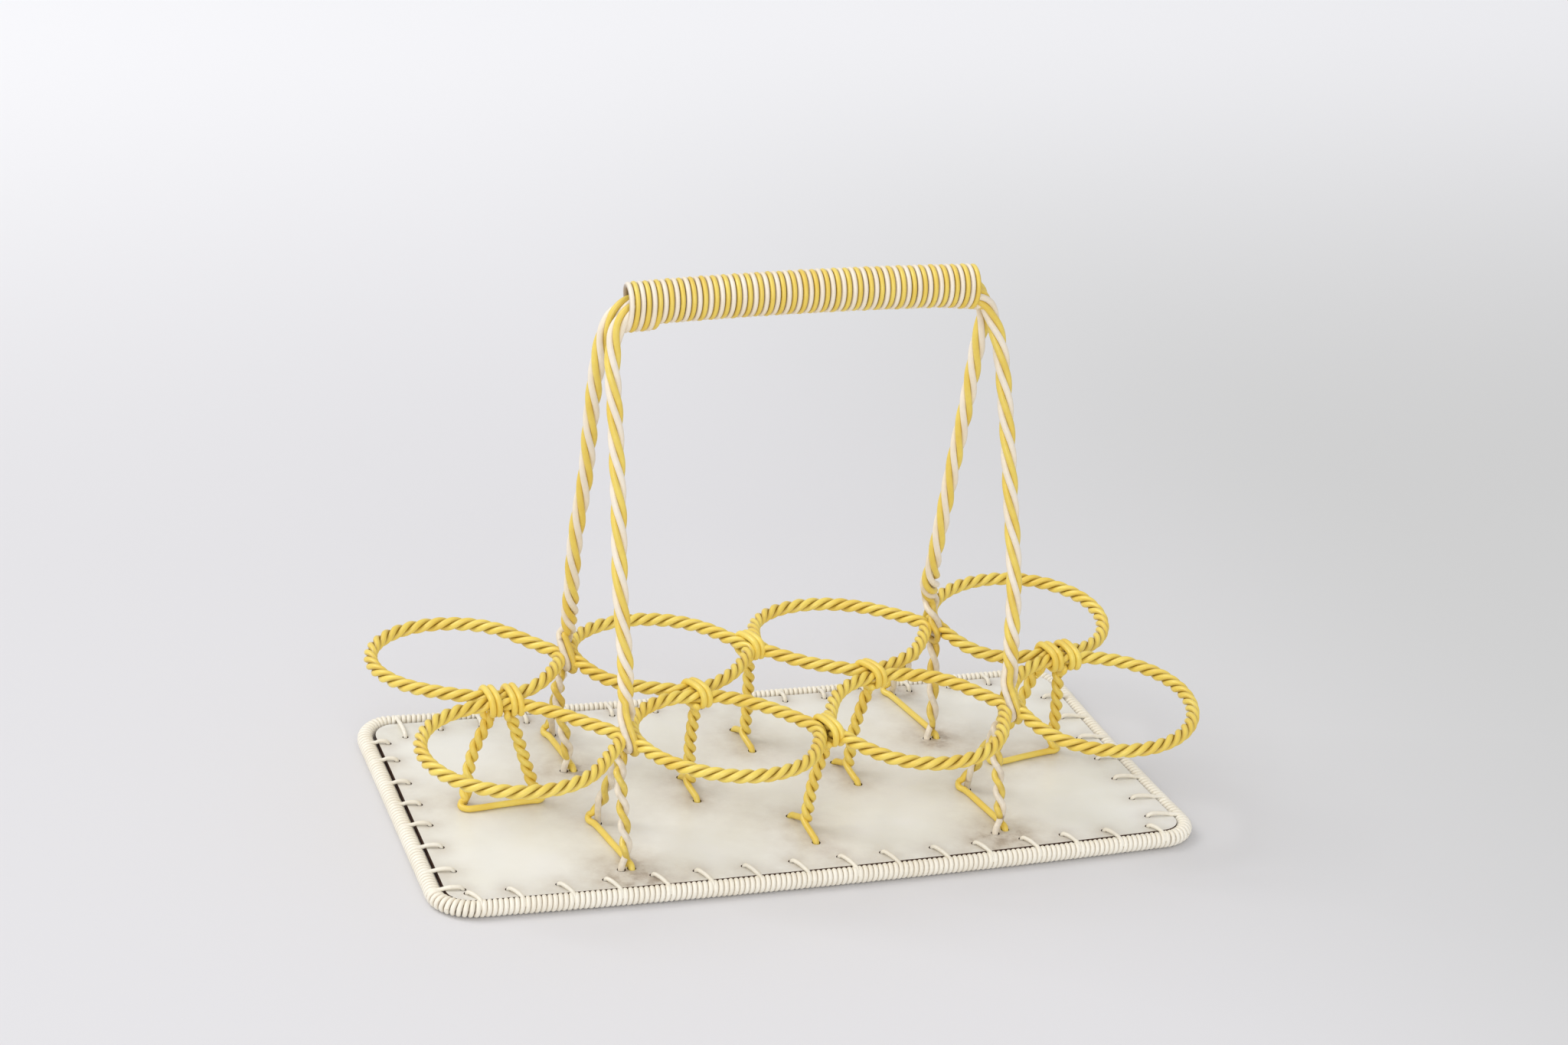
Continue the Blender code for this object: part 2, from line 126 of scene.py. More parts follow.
def hex_to_linear(code: str) -> tuple[float, float, float, float]:
    """Turn an sRGB hex colour into linear light.

    Args:
        code: the colour, as "#rrggbb".

    Returns:
        Red, green, blue and an alpha of 1.
    """
    parts = [int(code[start:start + 2], 16) / 255 for start in (1, 3, 5)]
    linear = [part / 12.92 if part <= 0.04045 else ((part + 0.055) / 1.055) ** 2.4 for part in parts]
    return (*linear, 1.0)


def add_node(tree: bpy.types.NodeTree, kind: str, inputs: dict, output: str | int = 0,
             stops: tuple[Pair, ...] = (), **settings: str) -> Socket:
    """Add a shader node with its settings, values and links.

    Args:
        tree: the material's node tree.
        kind: the node's type, without the words that all types share.
        inputs: values, hex colours or sockets, by the name or number of the input.
        output: the name or number of the output to return.
        stops: a colour ramp's two places and their greys.
        settings: properties of the node.

    Returns:
        One output of the new node.
    """
    node = tree.nodes.new("ShaderNode" + kind)
    for name, value in settings.items():
        setattr(node, name, value)
    for name, value in inputs.items():
        if isinstance(value, Socket):
            tree.links.new(value, node.inputs[name])
        else:
            node.inputs[name].default_value = hex_to_linear(value) if isinstance(value, str) else value
    if stops:
        for element, (place, grey) in zip(node.color_ramp.elements, stops):
            element.position = place
            element.color = (grey, grey, grey, 1.0)
    return node.outputs[output]


# Finishes
@dataclass(frozen=True, kw_only=True)
class Finish:
    """What the finishes share: colours laid over one another, a gloss that varies, and a fine relief."""

    name: str
    slot: Slot
    ground: str
    roughness: float
    # How far the roughness falls and rises with the pattern that rules it
    gloss: Pair
    # The relief's strength and height
    relief: Pair
    ior: float

    def patterns(self, tree: bpy.types.NodeTree, place: Socket) -> tuple[list[tuple], Socket, Socket]:
        """Return the layers, as masks and colours, the pattern of the gloss and that of the relief."""
        raise NotImplementedError

    def build(self) -> bpy.types.Material:
        """Make the material.

        Returns:
            The material.
        """
        material = bpy.data.materials.new(self.name)
        material.use_nodes = True
        tree = material.node_tree
        shader = tree.nodes["Principled BSDF"]
        layers, worn, rough = self.patterns(tree, add_node(tree, "TexCoord", {}, "Object"))
        colour = self.ground
        for mask, tint in layers:
            colour = add_node(tree, "Mix", {0: mask, 6: colour, 7: tint}, 2, data_type="RGBA")
        roughness = add_node(tree, "MapRange", {
            "Value": worn, "From Min": NOISE_LOW, "From Max": NOISE_HIGH,
            "To Min": self.roughness - self.gloss[0], "To Max": self.roughness + self.gloss[1]})
        normal = add_node(tree, "Bump", {"Strength": self.relief[0], "Distance": self.relief[1],
                                         "Height": rough})
        for name, value in (("Base Color", colour), ("Roughness", roughness), ("Normal", normal)):
            tree.links.new(value, shader.inputs[name])
        shader.inputs["IOR"].default_value = self.ior
        return material


@dataclass(frozen=True, kw_only=True)
class PlasticCoating(Finish):
    """Soft PVC, extruded over wire or cord.

    The eye sees a smooth satin skin, a little faded in patches, with painted shade where strands touch, and
    it gathers grime.
    """

    faded: str
    # The colour of the painted shade between strands
    groove_shade: str
    grime: str
    roughness: float = 0.34
    gloss: Pair = (0.05, 0.08)
    relief: Pair = (0.10, 0.15 * MM)
    ior: float = 1.53
    patch: float = 14 * MM
    speck: float = 3 * MM
    # Real ripples of an extruded sleeve are 0.3 mm wide; these are drawn coarser so that they show
    ripple: float = 1.6 * MM

    def patterns(self, tree: bpy.types.NodeTree, place: Socket) -> tuple[list[tuple], Socket, Socket]:
        """Draw faded patches, painted shade in the grooves, grime and ripples, from the piece's attributes
        for the grooves and the grime.

        Args:
            tree: the material's node tree.
            place: the piece's own coordinates.

        Returns:
            The layers, the patches, which rule the gloss too, and the ripples.
        """
        patches = add_node(tree, "TexNoise", {"Vector": place, "Scale": 1 / self.patch, "Detail": 3.0})
        faded = add_node(tree, "ValToRGB", {"Fac": patches}, stops=((0.35, 0.0), (0.68, 1.0)))
        # Painted shade: the deeper a point lies between strands, the more of the shade colour it takes
        groove_shade = add_node(tree, "Attribute", {}, "Fac", attribute_name="groove_shade")
        shaded = add_node(tree, "ValToRGB", {"Fac": groove_shade}, stops=((0.07, 0.0), (0.50, 0.85)))
        grime = add_node(tree, "Attribute", {}, "Fac", attribute_name="grime")
        specks = add_node(tree, "TexNoise", {"Vector": place, "Scale": 1 / self.speck, "Detail": 5.0})
        thick = add_node(tree, "ValToRGB", {"Fac": specks}, stops=((0.30, 0.25), (0.70, 1.0)))
        dirty = add_node(tree, "Math", {0: grime, 1: thick}, operation="MULTIPLY")
        ripples = add_node(tree, "TexNoise", {"Vector": place, "Scale": 1 / self.ripple, "Detail": 2.0})
        return [(faded, self.faded), (shaded, self.groove_shade), (dirty, self.grime)], patches, ripples


@dataclass(frozen=True, kw_only=True)
class PaintedHardboard(Finish):
    """Hardboard, pressed from wood fibre and painted on top.

    The eye sees an off-white varnished face, yellowed in clouds, rubbed, and soiled round the wires and the
    lacing, and bare dark brown fibre on the edge and in the holes.
    """

    name: str = "painted_hardboard"
    slot: Slot = Slot.BOARD
    ground: str = "#f5f5f0"
    yellowed: str = "#eeede3"
    scuffed: str = "#f7f7f4"
    soil: str = "#b2a390"
    deep_soil: str = "#826f5d"
    fibre: str = "#3b2720"
    fibre_light: str = "#5a3d30"
    roughness: float = 0.36
    gloss: Pair = (0.06, 0.10)
    relief: Pair = (0.18, 0.3 * MM)
    ior: float = 1.5
    cloud: float = 45 * MM
    rub: float = 18 * MM
    smear: float = 9 * MM
    fibre_width: float = 1.2 * MM
    # The paint's uneven skin, whose finest waves are under 1 mm across
    wave: float = 6 * MM

    def patterns(self, tree: bpy.types.NodeTree, place: Socket) -> tuple[list[tuple], Socket, Socket]:
        """Draw clouds, rubs, soil, fibre and waves, from the board's "soil" and "bare" attributes.

        Args:
            tree: the material's node tree.
            place: the board's own coordinates.

        Returns:
            The layers, the rubs, which rule the gloss too, and the waves.
        """
        clouds = add_node(tree, "TexNoise", {"Vector": place, "Scale": 1 / self.cloud, "Detail": 3.0})
        yellow = add_node(tree, "ValToRGB", {"Fac": clouds}, stops=((0.35, 0.0), (0.70, 1.0)))
        rubs = add_node(tree, "TexNoise", {"Vector": place, "Scale": 1 / self.rub, "Detail": 4.0})
        rubbed = add_node(tree, "ValToRGB", {"Fac": rubs}, stops=((0.52, 0.0), (0.78, 0.7)))
        soil = add_node(tree, "Attribute", {}, "Fac", attribute_name="soil")
        smears = add_node(tree, "TexNoise", {"Vector": place, "Scale": 1 / self.smear, "Detail": 6.0,
                                             "Roughness": 0.62})
        thick = add_node(tree, "ValToRGB", {"Fac": smears}, stops=((0.25, 0.35), (0.75, 1.0)))
        amount = add_node(tree, "Math", {0: soil, 1: thick}, operation="MULTIPLY")
        light = add_node(tree, "ValToRGB", {"Fac": amount}, stops=((0.0, 0.0), (0.8, 0.75)))
        deep = add_node(tree, "ValToRGB", {"Fac": amount}, stops=((0.68, 0.0), (1.0, 0.7)))
        fibres = add_node(tree, "TexNoise", {"Vector": place, "Scale": 1 / self.fibre_width, "Detail": 4.0})
        brown = add_node(tree, "Mix", {0: fibres, 6: self.fibre, 7: self.fibre_light}, 2, data_type="RGBA")
        bare = add_node(tree, "Attribute", {}, "Fac", attribute_name="bare")
        waves = add_node(tree, "TexNoise", {"Vector": place, "Scale": 1 / self.wave, "Detail": 4.0})
        layers = [(yellow, self.yellowed), (rubbed, self.scuffed), (light, self.soil), (deep, self.deep_soil),
                  (bare, brown)]
        return layers, rubs, waves


# The wires' coat: a warm yellow, with painted shade nearly brown between the strands
YELLOW_PVC = PlasticCoating(name="yellow_pvc_coating", slot=Slot.YELLOW, ground="#f2d968", faded="#eac953",
                            groove_shade="#9a7424", grime="#8a6a2a")
# The handle's pale wires and cord: cream, with greyer painted shade between the strands
CREAM_PVC = PlasticCoating(name="cream_pvc_coating", slot=Slot.CREAM, ground="#f6ecda", faded="#f0e3cb",
                           groove_shade="#a08a70", grime="#8f8272")
# The rim's cord: paler and a little more matt, with soft painted shade in the grooves between its turns
RIM_PVC = PlasticCoating(name="cream_pvc_cord", slot=Slot.CREAM, ground="#f8f3e5", faded="#f2ebda",
                         groove_shade="#bdac94", grime="#7d6d5d", roughness=0.4)


# Centre lines
@dataclass
class Route:
    """A smooth centre line of evenly spaced points, with a normal at each."""

    points: list[Vector]
    closed: bool = False
    normals: list[Vector] = field(default_factory=list)

    @classmethod
    def through(cls, corners: list[Vector], step: float, closed: bool = False) -> "Route":
        """Draw a smooth line through corner points.

        Args:
            corners: the points that the line passes.
            step: the spacing of its points.
            closed: whether it is a loop.

        Returns:
            The line.
        """
        if closed:
            padded = [corners[-1], *corners, *corners[:2]]
        else:
            padded = [corners[0] + (corners[0] - corners[1]), *corners,
                      corners[-1] + (corners[-1] - corners[-2])]
        dense: list[Vector] = []
        for stretch in zip(padded, padded[1:], padded[2:], padded[3:]):
            dense.extend(cls.span(*stretch))
        dense.append(dense[0].copy() if closed else corners[-1].copy())
        return cls(cls.even(dense, step, closed), closed)

    @staticmethod
    def span(before: Vector, start: Vector, end: Vector, after: Vector) -> list[Vector]:
        """Draw one stretch, whose slope at each end follows its neighbours as well.

        Args:
            before: the corner before the stretch.
            start: its first corner.
            end: its last corner.
            after: the corner after it.

        Returns:
            Its points, without the last corner.
        """
        first, second, third = (max((b - a).length ** 0.5, 1e-6)
                                for a, b in ((before, start), (start, end), (end, after)))
        lean_in = (start - before) / first - (end - before) / (first + second) + (end - start) / second
        lean_out = (end - start) / second - (after - start) / (second + third) + (after - end) / third
        lean_in, lean_out = lean_in * second, lean_out * second
        points = []
        for index in range(STRETCH_POINTS):
            t = index / STRETCH_POINTS
            points.append((2 * t ** 3 - 3 * t ** 2 + 1) * start + (t ** 3 - 2 * t ** 2 + t) * lean_in
                          + (3 * t ** 2 - 2 * t ** 3) * end + (t ** 3 - t ** 2) * lean_out)
        return points

    @staticmethod
    def even(dense: list[Vector], step: float, closed: bool) -> list[Vector]:
        """Space a line's points evenly.

        Args:
            dense: close points on the line; a loop ends where it starts.
            step: the spacing.
            closed: whether to leave out the last point, which is the first again.

        Returns:
            The evenly spaced points.
        """
        lengths = [0.0]
        for first, second in zip(dense, dense[1:]):
            lengths.append(lengths[-1] + (second - first).length)
        count = max(2, round(lengths[-1] / step))
        points = []
        index = 0
        for number in range(count if closed else count + 1):
            target = lengths[-1] * number / count
            while index < len(dense) - 2 and lengths[index + 1] < target:
                index += 1
            reach = max(lengths[index + 1] - lengths[index], 1e-9)
            points.append(dense[index].lerp(dense[index + 1], (target - lengths[index]) / reach))
        return points

    def tangent(self, index: int) -> Vector:
        """Find the line's direction at a point.

        Args:
            index: the point's number.

        Returns:
            The direction.
        """
        count = len(self.points)
        if self.closed:
            return (self.points[(index + 1) % count] - self.points[index - 1]).normalized()
        return (self.points[min(index + 1, count - 1)] - self.points[max(index - 1, 0)]).normalized()

    def face(self, way: Vector, carried: bool = False) -> None:
        """Give each point a normal.

        Args:
            way: the way that the normals face, or the first of them.
            carried: whether each normal follows from the one before, so that none spins round the line.
        """
        self.normals = []
        for index in range(len(self.points)):
            tangent = self.tangent(index)
            normal = (way - tangent * way.dot(tangent)).normalized()
            self.normals.append(normal)
            if carried:
                way = normal

    def length(self) -> float:
        """Return the line's length."""
        total = sum((b - a).length for a, b in zip(self.points, self.points[1:]))
        return total + ((self.points[0] - self.points[-1]).length if self.closed else 0.0)

    def around(self, index: int, angle: float) -> Vector:
        """Return the direction across the line at an angle from its normal."""
        normal = self.normals[index]
        return normal * math.cos(angle) + self.tangent(index).cross(normal) * math.sin(angle)

    def angle_of(self, index: int, way: Vector) -> float:
        """Return the angle from a point's normal to a way across the line."""
        normal = self.normals[index]
        return math.atan2(way.dot(self.tangent(index).cross(normal)), way.dot(normal))

    def strands(self, count: int, reach: float, lay: float, phase: float) -> list[list[Vector]]:
        """Lay strands round the line.

        Args:
            count: the number of strands.
            reach: how far a strand's own line lies from this one.
            lay: the length of one full turn.
            phase: the first strand's angle at the start.

        Returns:
            Each strand's points.
        """
        turns = round(self.length() / lay) if self.closed else self.length() / lay
        total = len(self.points) if self.closed else len(self.points) - 1
        starts = [phase + 2 * math.pi * strand / count for strand in range(count)]
        return [[point + self.around(index, start + LAY_TURN * turns * (index / total)) * reach
                 for index, point in enumerate(self.points)] for start in starts]


# Making pieces
@dataclass
class Cord:
    """One round cord or coated wire of a piece, along its own points, and the line that it winds round."""

    points: list[Vector]
    radius: float = WIRE_RADIUS
    closed: bool = False
    core: list[Vector] | None = None
    grime: float = 0.0

    @classmethod
    def along(cls, corners: list[Vector], step: float, radius: float = WIRE_RADIUS,
              grime: float = 0.0) -> "Cord":
        """Return a cord that runs smoothly through corner points."""
        return cls(Route.through(corners, step).points, radius, grime=grime)


class Bench:
    """Turns cords and shapes into finished pieces on the carrier's body."""

    def __init__(self) -> None:
        """Start with no material built and no piece made."""
        self.materials: dict[str, bpy.types.Material] = {}
        self.count = 0

    def make(self, name: str, cords: list[Cord], sides: int, finish: Finish, *nodes: str) -> None:
        """Draw cords as round tubes of one mesh, and finish it.

        Args:
            name: the piece's name.
            cords: the cords.
            sides: how many faces go round a cord; an even number from 6.
            finish: the piece's finish.
            nodes: the solids that it stands for.
        """
        curve = bpy.data.curves.new(name, "CURVE")
        curve.dimensions = "3D"
        curve.twist_mode = "MINIMUM"
        curve.resolution_u = 1
        curve.bevel_depth = 1.0
        curve.bevel_resolution = sides // 2 - 2
        curve.use_fill_caps = True
        for cord in cords:
            spline = curve.splines.new("POLY")
            spline.points.add(len(cord.points) - 1)
            for knot, point in zip(spline.points, cord.points):
                knot.co = (*point, 1.0)
                knot.radius = cord.radius
            spline.use_cyclic_u = cord.closed
        obj = bpy.data.objects.new(name, curve)
        bpy.context.scene.collection.objects.link(obj)
        select_only(obj)
        bpy.ops.object.convert(target="MESH")
        obj = bpy.context.view_layer.objects.active
        self.shade(obj.data, cords, sides)
        bpy.ops.object.shade_smooth()
        self.finish(obj, finish, *nodes)

    @staticmethod
    def shade(mesh: bpy.types.Mesh, cords: list[Cord], sides: int) -> None:
        """Write each point's depth between strands, for the painted shade, and its grime: most of all below
        the rings.

        Args:
            mesh: the piece's mesh, whose points go round each cord in turn.
            cords: the cords that it was drawn from.
            sides: how many points go round a cord.
        """
        groove_shade = mesh.attributes.new("groove_shade", "FLOAT", "POINT")
        grime = mesh.attributes.new("grime", "FLOAT", "POINT")
        index = 0
        for cord in cords:
            for number, point in enumerate(cord.points):
                heart = cord.core[number] if cord.core else point
                low = 1 / (1 + math.exp((point.z - CLEAN_HEIGHT) / CLEAN_BLEND))
                for _ in range(sides):
                    # The deeper a point lies between strands, the darker its painted shade
                    if heart != point:
                        outer = (point - heart).length + cord.radius
                        depth = (outer - (mesh.vertices[index].co - heart).length) / (2 * cord.radius)
                        groove_shade.data[index].value = max(0.0, min(1.0, depth))
                    grime.data[index].value = cord.grime * (CLEAN_SHARE + (1 - CLEAN_SHARE) * low)
                    index += 1

    def finish(self, obj: bpy.types.Object, finish: Finish, *nodes: str) -> None:
        """Give a piece its material and its place in the frame.

        Args:
            obj: the piece.
            finish: its finish.
            nodes: the solids that it stands for.
        """
        if finish.name not in self.materials:
            self.materials[finish.name] = finish.build()
        obj.data.materials.clear()
        obj.data.materials.append(self.materials[finish.name])
        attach(obj, BODY)
        if nodes:
            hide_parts(*nodes)
        self.count += 1
        LOG.info("%s: %d faces", obj.name, len(obj.data.polygons))


def select_only(obj: bpy.types.Object) -> None:
    """Select one object and make it active.

    Args:
        obj: the object.
    """
    bpy.ops.object.select_all(action="DESELECT")
    obj.select_set(True)
    bpy.context.view_layer.objects.active = obj


# The rings
@dataclass(frozen=True)
class RingShape:
    """One ring: its centre and half sizes, and the points where it meets its neighbours, in millimetres.

    Its skew takes it further out at 45 and 225 degrees. Its lift raises it where nothing ties it: in the
    middle, more to the right and more to the back.
    """

    name: str
    centre: Pair
    half: Pair
    meets: tuple[str, ...]
    skew: float
    lift: Triple

    def oval(self, angle: float) -> float:
        """Find how far the skewed oval reaches.

        Args:
            angle: the direction from the centre.

        Returns:
            The distance.
        """
        half_x, half_y = self.half[0] * MM, self.half[1] * MM
        plain = 1 / math.hypot(math.cos(angle) / half_x, math.sin(angle) / half_y)
        return plain + self.skew * MM * math.sin(2 * angle)


# Millimetres: where rings meet each other, seen from above
MEET = {
    "back_12": (-78.8, 38.4), "back_23": (-2.0, 30.5), "back_34": (78.0, 40.6),
    "front_12": (-75.2, -34.4), "front_23": (2.2, -42.5), "front_34": (82.4, -35.2),
    "tie_1": (-114.5, 3.2), "tie_2": (-37.5, -4.0), "tie_3": (37.0, 0.5), "tie_4": (120.8, 3.0),
}
RINGS = (
    RingShape("back_1", (-121.4, 39.6), (32.9, 32.8), ("back_12", "tie_1"),
              -3.9, (1.0, 3.0, -0.4)),
    RingShape("back_2", (-42.4, 34.1), (32.8, 32.9), ("back_12", "back_23", "tie_2"),
              -1.2, (-0.6, 1.1, -0.6)),
    RingShape("back_3", (36.3, 38.9), (32.7, 31.8), ("back_23", "back_34", "tie_3"),
              -1.5, (-1.2, 1.1, -0.8)),
    RingShape("back_4", (117.4, 41.2), (36.1, 35.3), ("back_34", "tie_4"),
              0.3, (-1.5, 1.3, 2.2)),
    RingShape("front_1", (-120.4, -35.8), (34.7, 34.8), ("front_12", "tie_1"),
              -0.1, (-0.3, -0.1, 0.2)),
    RingShape("front_2", (-38.3, -40.9), (33.6, 35.4), ("front_12", "front_23", "tie_2"),
              -2.0, (0.0, 0.3, -1.0)),
    RingShape("front_3", (41.7, -39.6), (33.2, 37.1), ("front_23", "front_34", "tie_3"),
              0.7, (0.2, 0.4, 0.8)),
    RingShape("front_4", (121.3, -38.0), (36.2, 38.7), ("front_34", "tie_4"),
              0.5, (-1.4, 1.1, 1.0)),
)


@dataclass
class RopeRings:
    """The eight rings of three-strand rope."""

    strands: int = 3
    sides: int = 10
    lay: float = 17.3 * MM
    step: float = 0.85 * MM
    outline_points: int = 72
    # The first strand starts so much further round on each ring than on the one before
    phase_step: float = 0.9
    # Two ropes that meet are pressed together to this share of their width
    pressed: float = 0.97
    # How wide round each meeting point a ring is drawn to it, how suddenly, and how wide it is tied down
    pull_width: float = math.radians(17)
    pull_power: float = 1.6
    tied_width: float = math.radians(35)

    @property
    def reach(self) -> float:
        """Return how far a strand lies from the rope's line."""
        return WIRE_RADIUS / math.sin(math.pi / self.strands)

    def outline(self, shape: RingShape) -> list[Vector]:
        """Draw a ring's centre line: an oval that is drawn towards each point where it meets a neighbour.

        Args:
            shape: the ring's shape.

        Returns:
            Its points.
        """
        pulls = []
        for meet in shape.meets:
            away = spot(MEET[meet]) - spot(shape.centre)
            angle = math.atan2(away.y, away.x)
            pulls.append((angle, away.length - (self.reach + WIRE_RADIUS) * self.pressed - shape.oval(angle)))
        points = []
        for index in range(self.outline_points):
            angle = 2 * math.pi * index / self.outline_points
            radius = shape.oval(angle)
            free = 1.0
            for pull_angle, amount in pulls:
                apart = abs((angle - pull_angle + math.pi) % (2 * math.pi) - math.pi)
                radius += amount * math.exp(-(apart / self.pull_width) ** self.pull_power)
                free *= 1 - math.exp(-(apart / self.tied_width) ** 2)
            way = Vector((math.cos(angle), math.sin(angle), 0))
            lift = (shape.lift[0] + shape.lift[1] * way.x + shape.lift[2] * way.y) * free * MM
            points.append(spot(shape.centre, RING_HEIGHT + lift) + way * radius)
        return points

    def build(self, bench: Bench) -> None:
        """Make every ring.

        Args:
            bench: makes the pieces.
        """
        for number, shape in enumerate(RINGS):
            route = Route.through(self.outline(shape), self.step, closed=True)
            route.face(UP, carried=True)
            lines = route.strands(self.strands, self.reach, self.lay, number * self.phase_step)
            cords = [Cord(line, closed=True, core=route.points) for line in lines]
            bench.make(f"rope_ring_{shape.name}", cords, self.sides, YELLOW_PVC, f"ring_{shape.name}")


# The lashings
@dataclass(frozen=True)
class Tie:
    """A lashing where two rings meet, or a pair of them side by side.

    It has a place, the direction that its turns stack in (degrees from above), half of their straight run,
    their number, how far they lie to each side, the leg's foot, the two ends on the board, how far to the
    side the legs start and how far to the right they bow, in millimetres.
    """

    name: str
    place: Pair
    along: float
    half: float
    turns: float
    aside: float
    foot: Pair
    holes: tuple[Pair, Pair]
    tops: Pair = (0.0, 0.0)
    bows: Pair = (0.5, 0.5)

    @property
    def centre(self) -> Vector:
        """Return the point between the two ropes."""
        return spot(self.place, RING_HEIGHT)

    @property
    def way(self) -> Vector:
        """Return the way that the turns stack."""
        return Vector((math.cos(math.radians(self.along)), math.sin(math.radians(self.along)), 0))


SINGLE_TIES = (
    Tie("back_middle", (-2.7, 33.9), 14, 2.8, 2.3, 0.0, (-1.6, 34.0), ((-2.9, 44.0), (-1.3, 24.8))),
    Tie("front_middle", (3.4, -43.4), 9, 3.6, 2.3, 0.0, (-2.0, -42.0), ((-4.3, -31.0), (-1.3, -53.2)),
        bows=(-1.3, 0)),
    Tie("inner_left", MEET["tie_2"], 15, 2.75, 2.3, 0.0, (-37.0, -2.4), ((-37.2, 8.0), (-36.6, -12.0)),
        bows=(-1.0, 0)),
    Tie("inner_right", MEET["tie_3"], 17, 2.75, 2.3, 0.0, (30.6, -0.8), ((28.6, 9.0), (31.8, -10.4)),
        bows=(-1.5, 0)),
)
DOUBLE_TIES = (
    Tie("outer_left", MEET["tie_1"], 0, 2.75, 2.15, 4.2, (-127.6, 1.6), ((-129.9, 0.7), (-97.9, -0.7)),
        (-3.7, 3.7), (-2.4, -0.2)),
    Tie("outer_right", (119.7, 3.0), 4, 2.75, 2.15, 3.8, (95.0, 1.2), ((91.8, -0.6), (123.0, 2.0)),
        (-9.4, 0.8)),
)


@dataclass
class Lashings:
    """The lashings, the two-strand legs below them and the wires at the legs' feet."""

    # How far a turn's own line lies from a rope's centre line
    hug: float = 2.75 * MM + WIRE_RADIUS * 0.92
    pitch: float = 2.62 * MM
    points_per_turn: int = 40
    sides: int = 12
    # The turns are flat between the ropes, and spread by the square of their run over this length
    flat: float = 2.4
    spread: float = 70 * MM
    leg_lay: float = 9.8 * MM
    leg_step: float = 0.7 * MM
    step: float = 0.6 * MM
    grime: float = 0.16
    # A leg starts so far below the turns, and the lashing's ends run this much further down inside it
    below_single: float = 1.8 * MM
    below_double: float = 1.4 * MM
    sunk: float = 3 * MM
    # Where the turns start, in turns from straight below
    start_single: float = -0.12
    starts_double: Pair = (0.0, -0.08)
    # How far the ends come in to the leg, as a share, and how far they drop
    drawn_single: Pair = (0.55, 0.8 * MM)
    drawn_double: Pair = (0.0, 1.5 * MM)
    # The height of a leg's foot, and its first strand's angle there, from the right through the front
    foot_single: float = FLOOR + 2.4 * MM
    foot_double: float = FLOOR + 2 * MM
    end_single: float = math.radians(175)
    end_double: float = math.radians(95)
    # The height at which the inner strand of a double leg passes its hole
    bend: float = BOARD_TOP - 1 * MM
    # Two strands run together as long as they lie within this many radii
    together: float = 2.6
    # A double leg's foot lies so far beside its hole
    beside: float = 1.6 * MM
    # A strand's way into its hole: millimetres along the board from the hole, and its height
    plunge: tuple[Pair, ...] = ((-3.4, FLOOR + 0.5 * MM), (-0.9, FLOOR - 0.3 * MM),
                                (0.2, BOARD_TOP - 1.0 * MM), (0.2, ENDS))
    # The foot wire's way out of the left leg and into the right one, in millimetres right, back and up
    way_out: tuple[Triple, ...] = ((0.9, -0.4, 1.2), (-0.1, -2.6, 0.2), (1.9, -4.6, 0), (5.4, -4.6, 0))
    way_in: tuple[Triple, ...] = ((-4.5, -1.5, 0), (-0.6, -1.3, 0), (1.0, -0.2, 0.3))
    # In between it sways so far to the back, and it rises this much as it enters the right leg
    sway: float = -2.9 * MM
    rise: float = 0.2 * MM

    def turns(self, tie: Tie, aside: float, start: float) -> list[Vector]:
        """Wind a wire round two ropes that touch.

        Args:
            tie: the lashing.
            aside: how far along the ropes the turns lie.
            start: the first point's angle in turns, from straight below.

        Returns:
            The wire's points.
        """
        across = UP.cross(tie.way)
        points = []
        for index in range(round(tie.turns * self.points_per_turn) + 1):
            turn = index / self.points_per_turn
            run = aside + (turn - tie.turns / 2) * self.pitch
            angle = 2 * math.pi * (turn + start) - math.pi / 2
            straight = max(-1.0, min(1.0, self.flat * math.cos(angle)))
            width = math.cos(angle) * self.hug + straight * (tie.half * MM + run * run / self.spread)
            points.append(tie.centre + tie.way * run + across * width + up(math.sin(angle) * self.hug))
        return points

    def lash(self, bench: Bench, name: str, wound: list[Vector], top: Vector, drawn: Pair) -> None:
        """Make one lashing, whose ends are drawn in to its leg.

        Args:
            bench: makes the piece.
            name: the lashing's name.
            wound: the points of its turns.
            top: the leg's upper end.
            drawn: how far towards it the ends come, as a share, and how far they drop.
        """
        low = top - up(self.sunk)
        first, last = (end.lerp(top, drawn[0]) - up(drawn[1]) for end in (wound[0], wound[-1]))
        cord = Cord.along([low, first, *wound[::4], last, low], self.step)
        bench.make(f"wire_lashing_{name}", [cord], self.sides, YELLOW_PVC, f"lashing_{name}")

    def leg(self, top: Vector, foot: Vector, end: float, bow: float) -> list[list[Vector]]:
        """Lay the two strands of a leg.

        Args:
            top: the leg's upper end.
            foot: its lower end.
            end: the first strand's angle at the foot, from the right through the front.
            bow: how far to the right its middle stands out, in millimetres.

        Returns:
            Its two strands, from the top down.
        """
        route = Route.through([top, top.lerp(foot, 0.5) + spot((bow, 0)), foot], self.leg_step)
        route.face(RIGHT)
        phase = end - LAY_TURN * route.length() / self.leg_lay
        return route.strands(2, WIRE_RADIUS, self.leg_lay, phase)

    def pair_cores(self, cords: list[Cord]) -> None:
        """Give two twisted strands the line between them as their core, as far as they run together.

        Args:
            cords: the two strands.
        """
        for cord, other in (cords, reversed(cords)):
            cord.core = list(cord.points)
            for index, (point, beside) in enumerate(zip(cord.points, other.points)):
                gap = beside - point
                if gap.length < self.together * cord.radius:
                    cord.core[index] = point + gap / 2

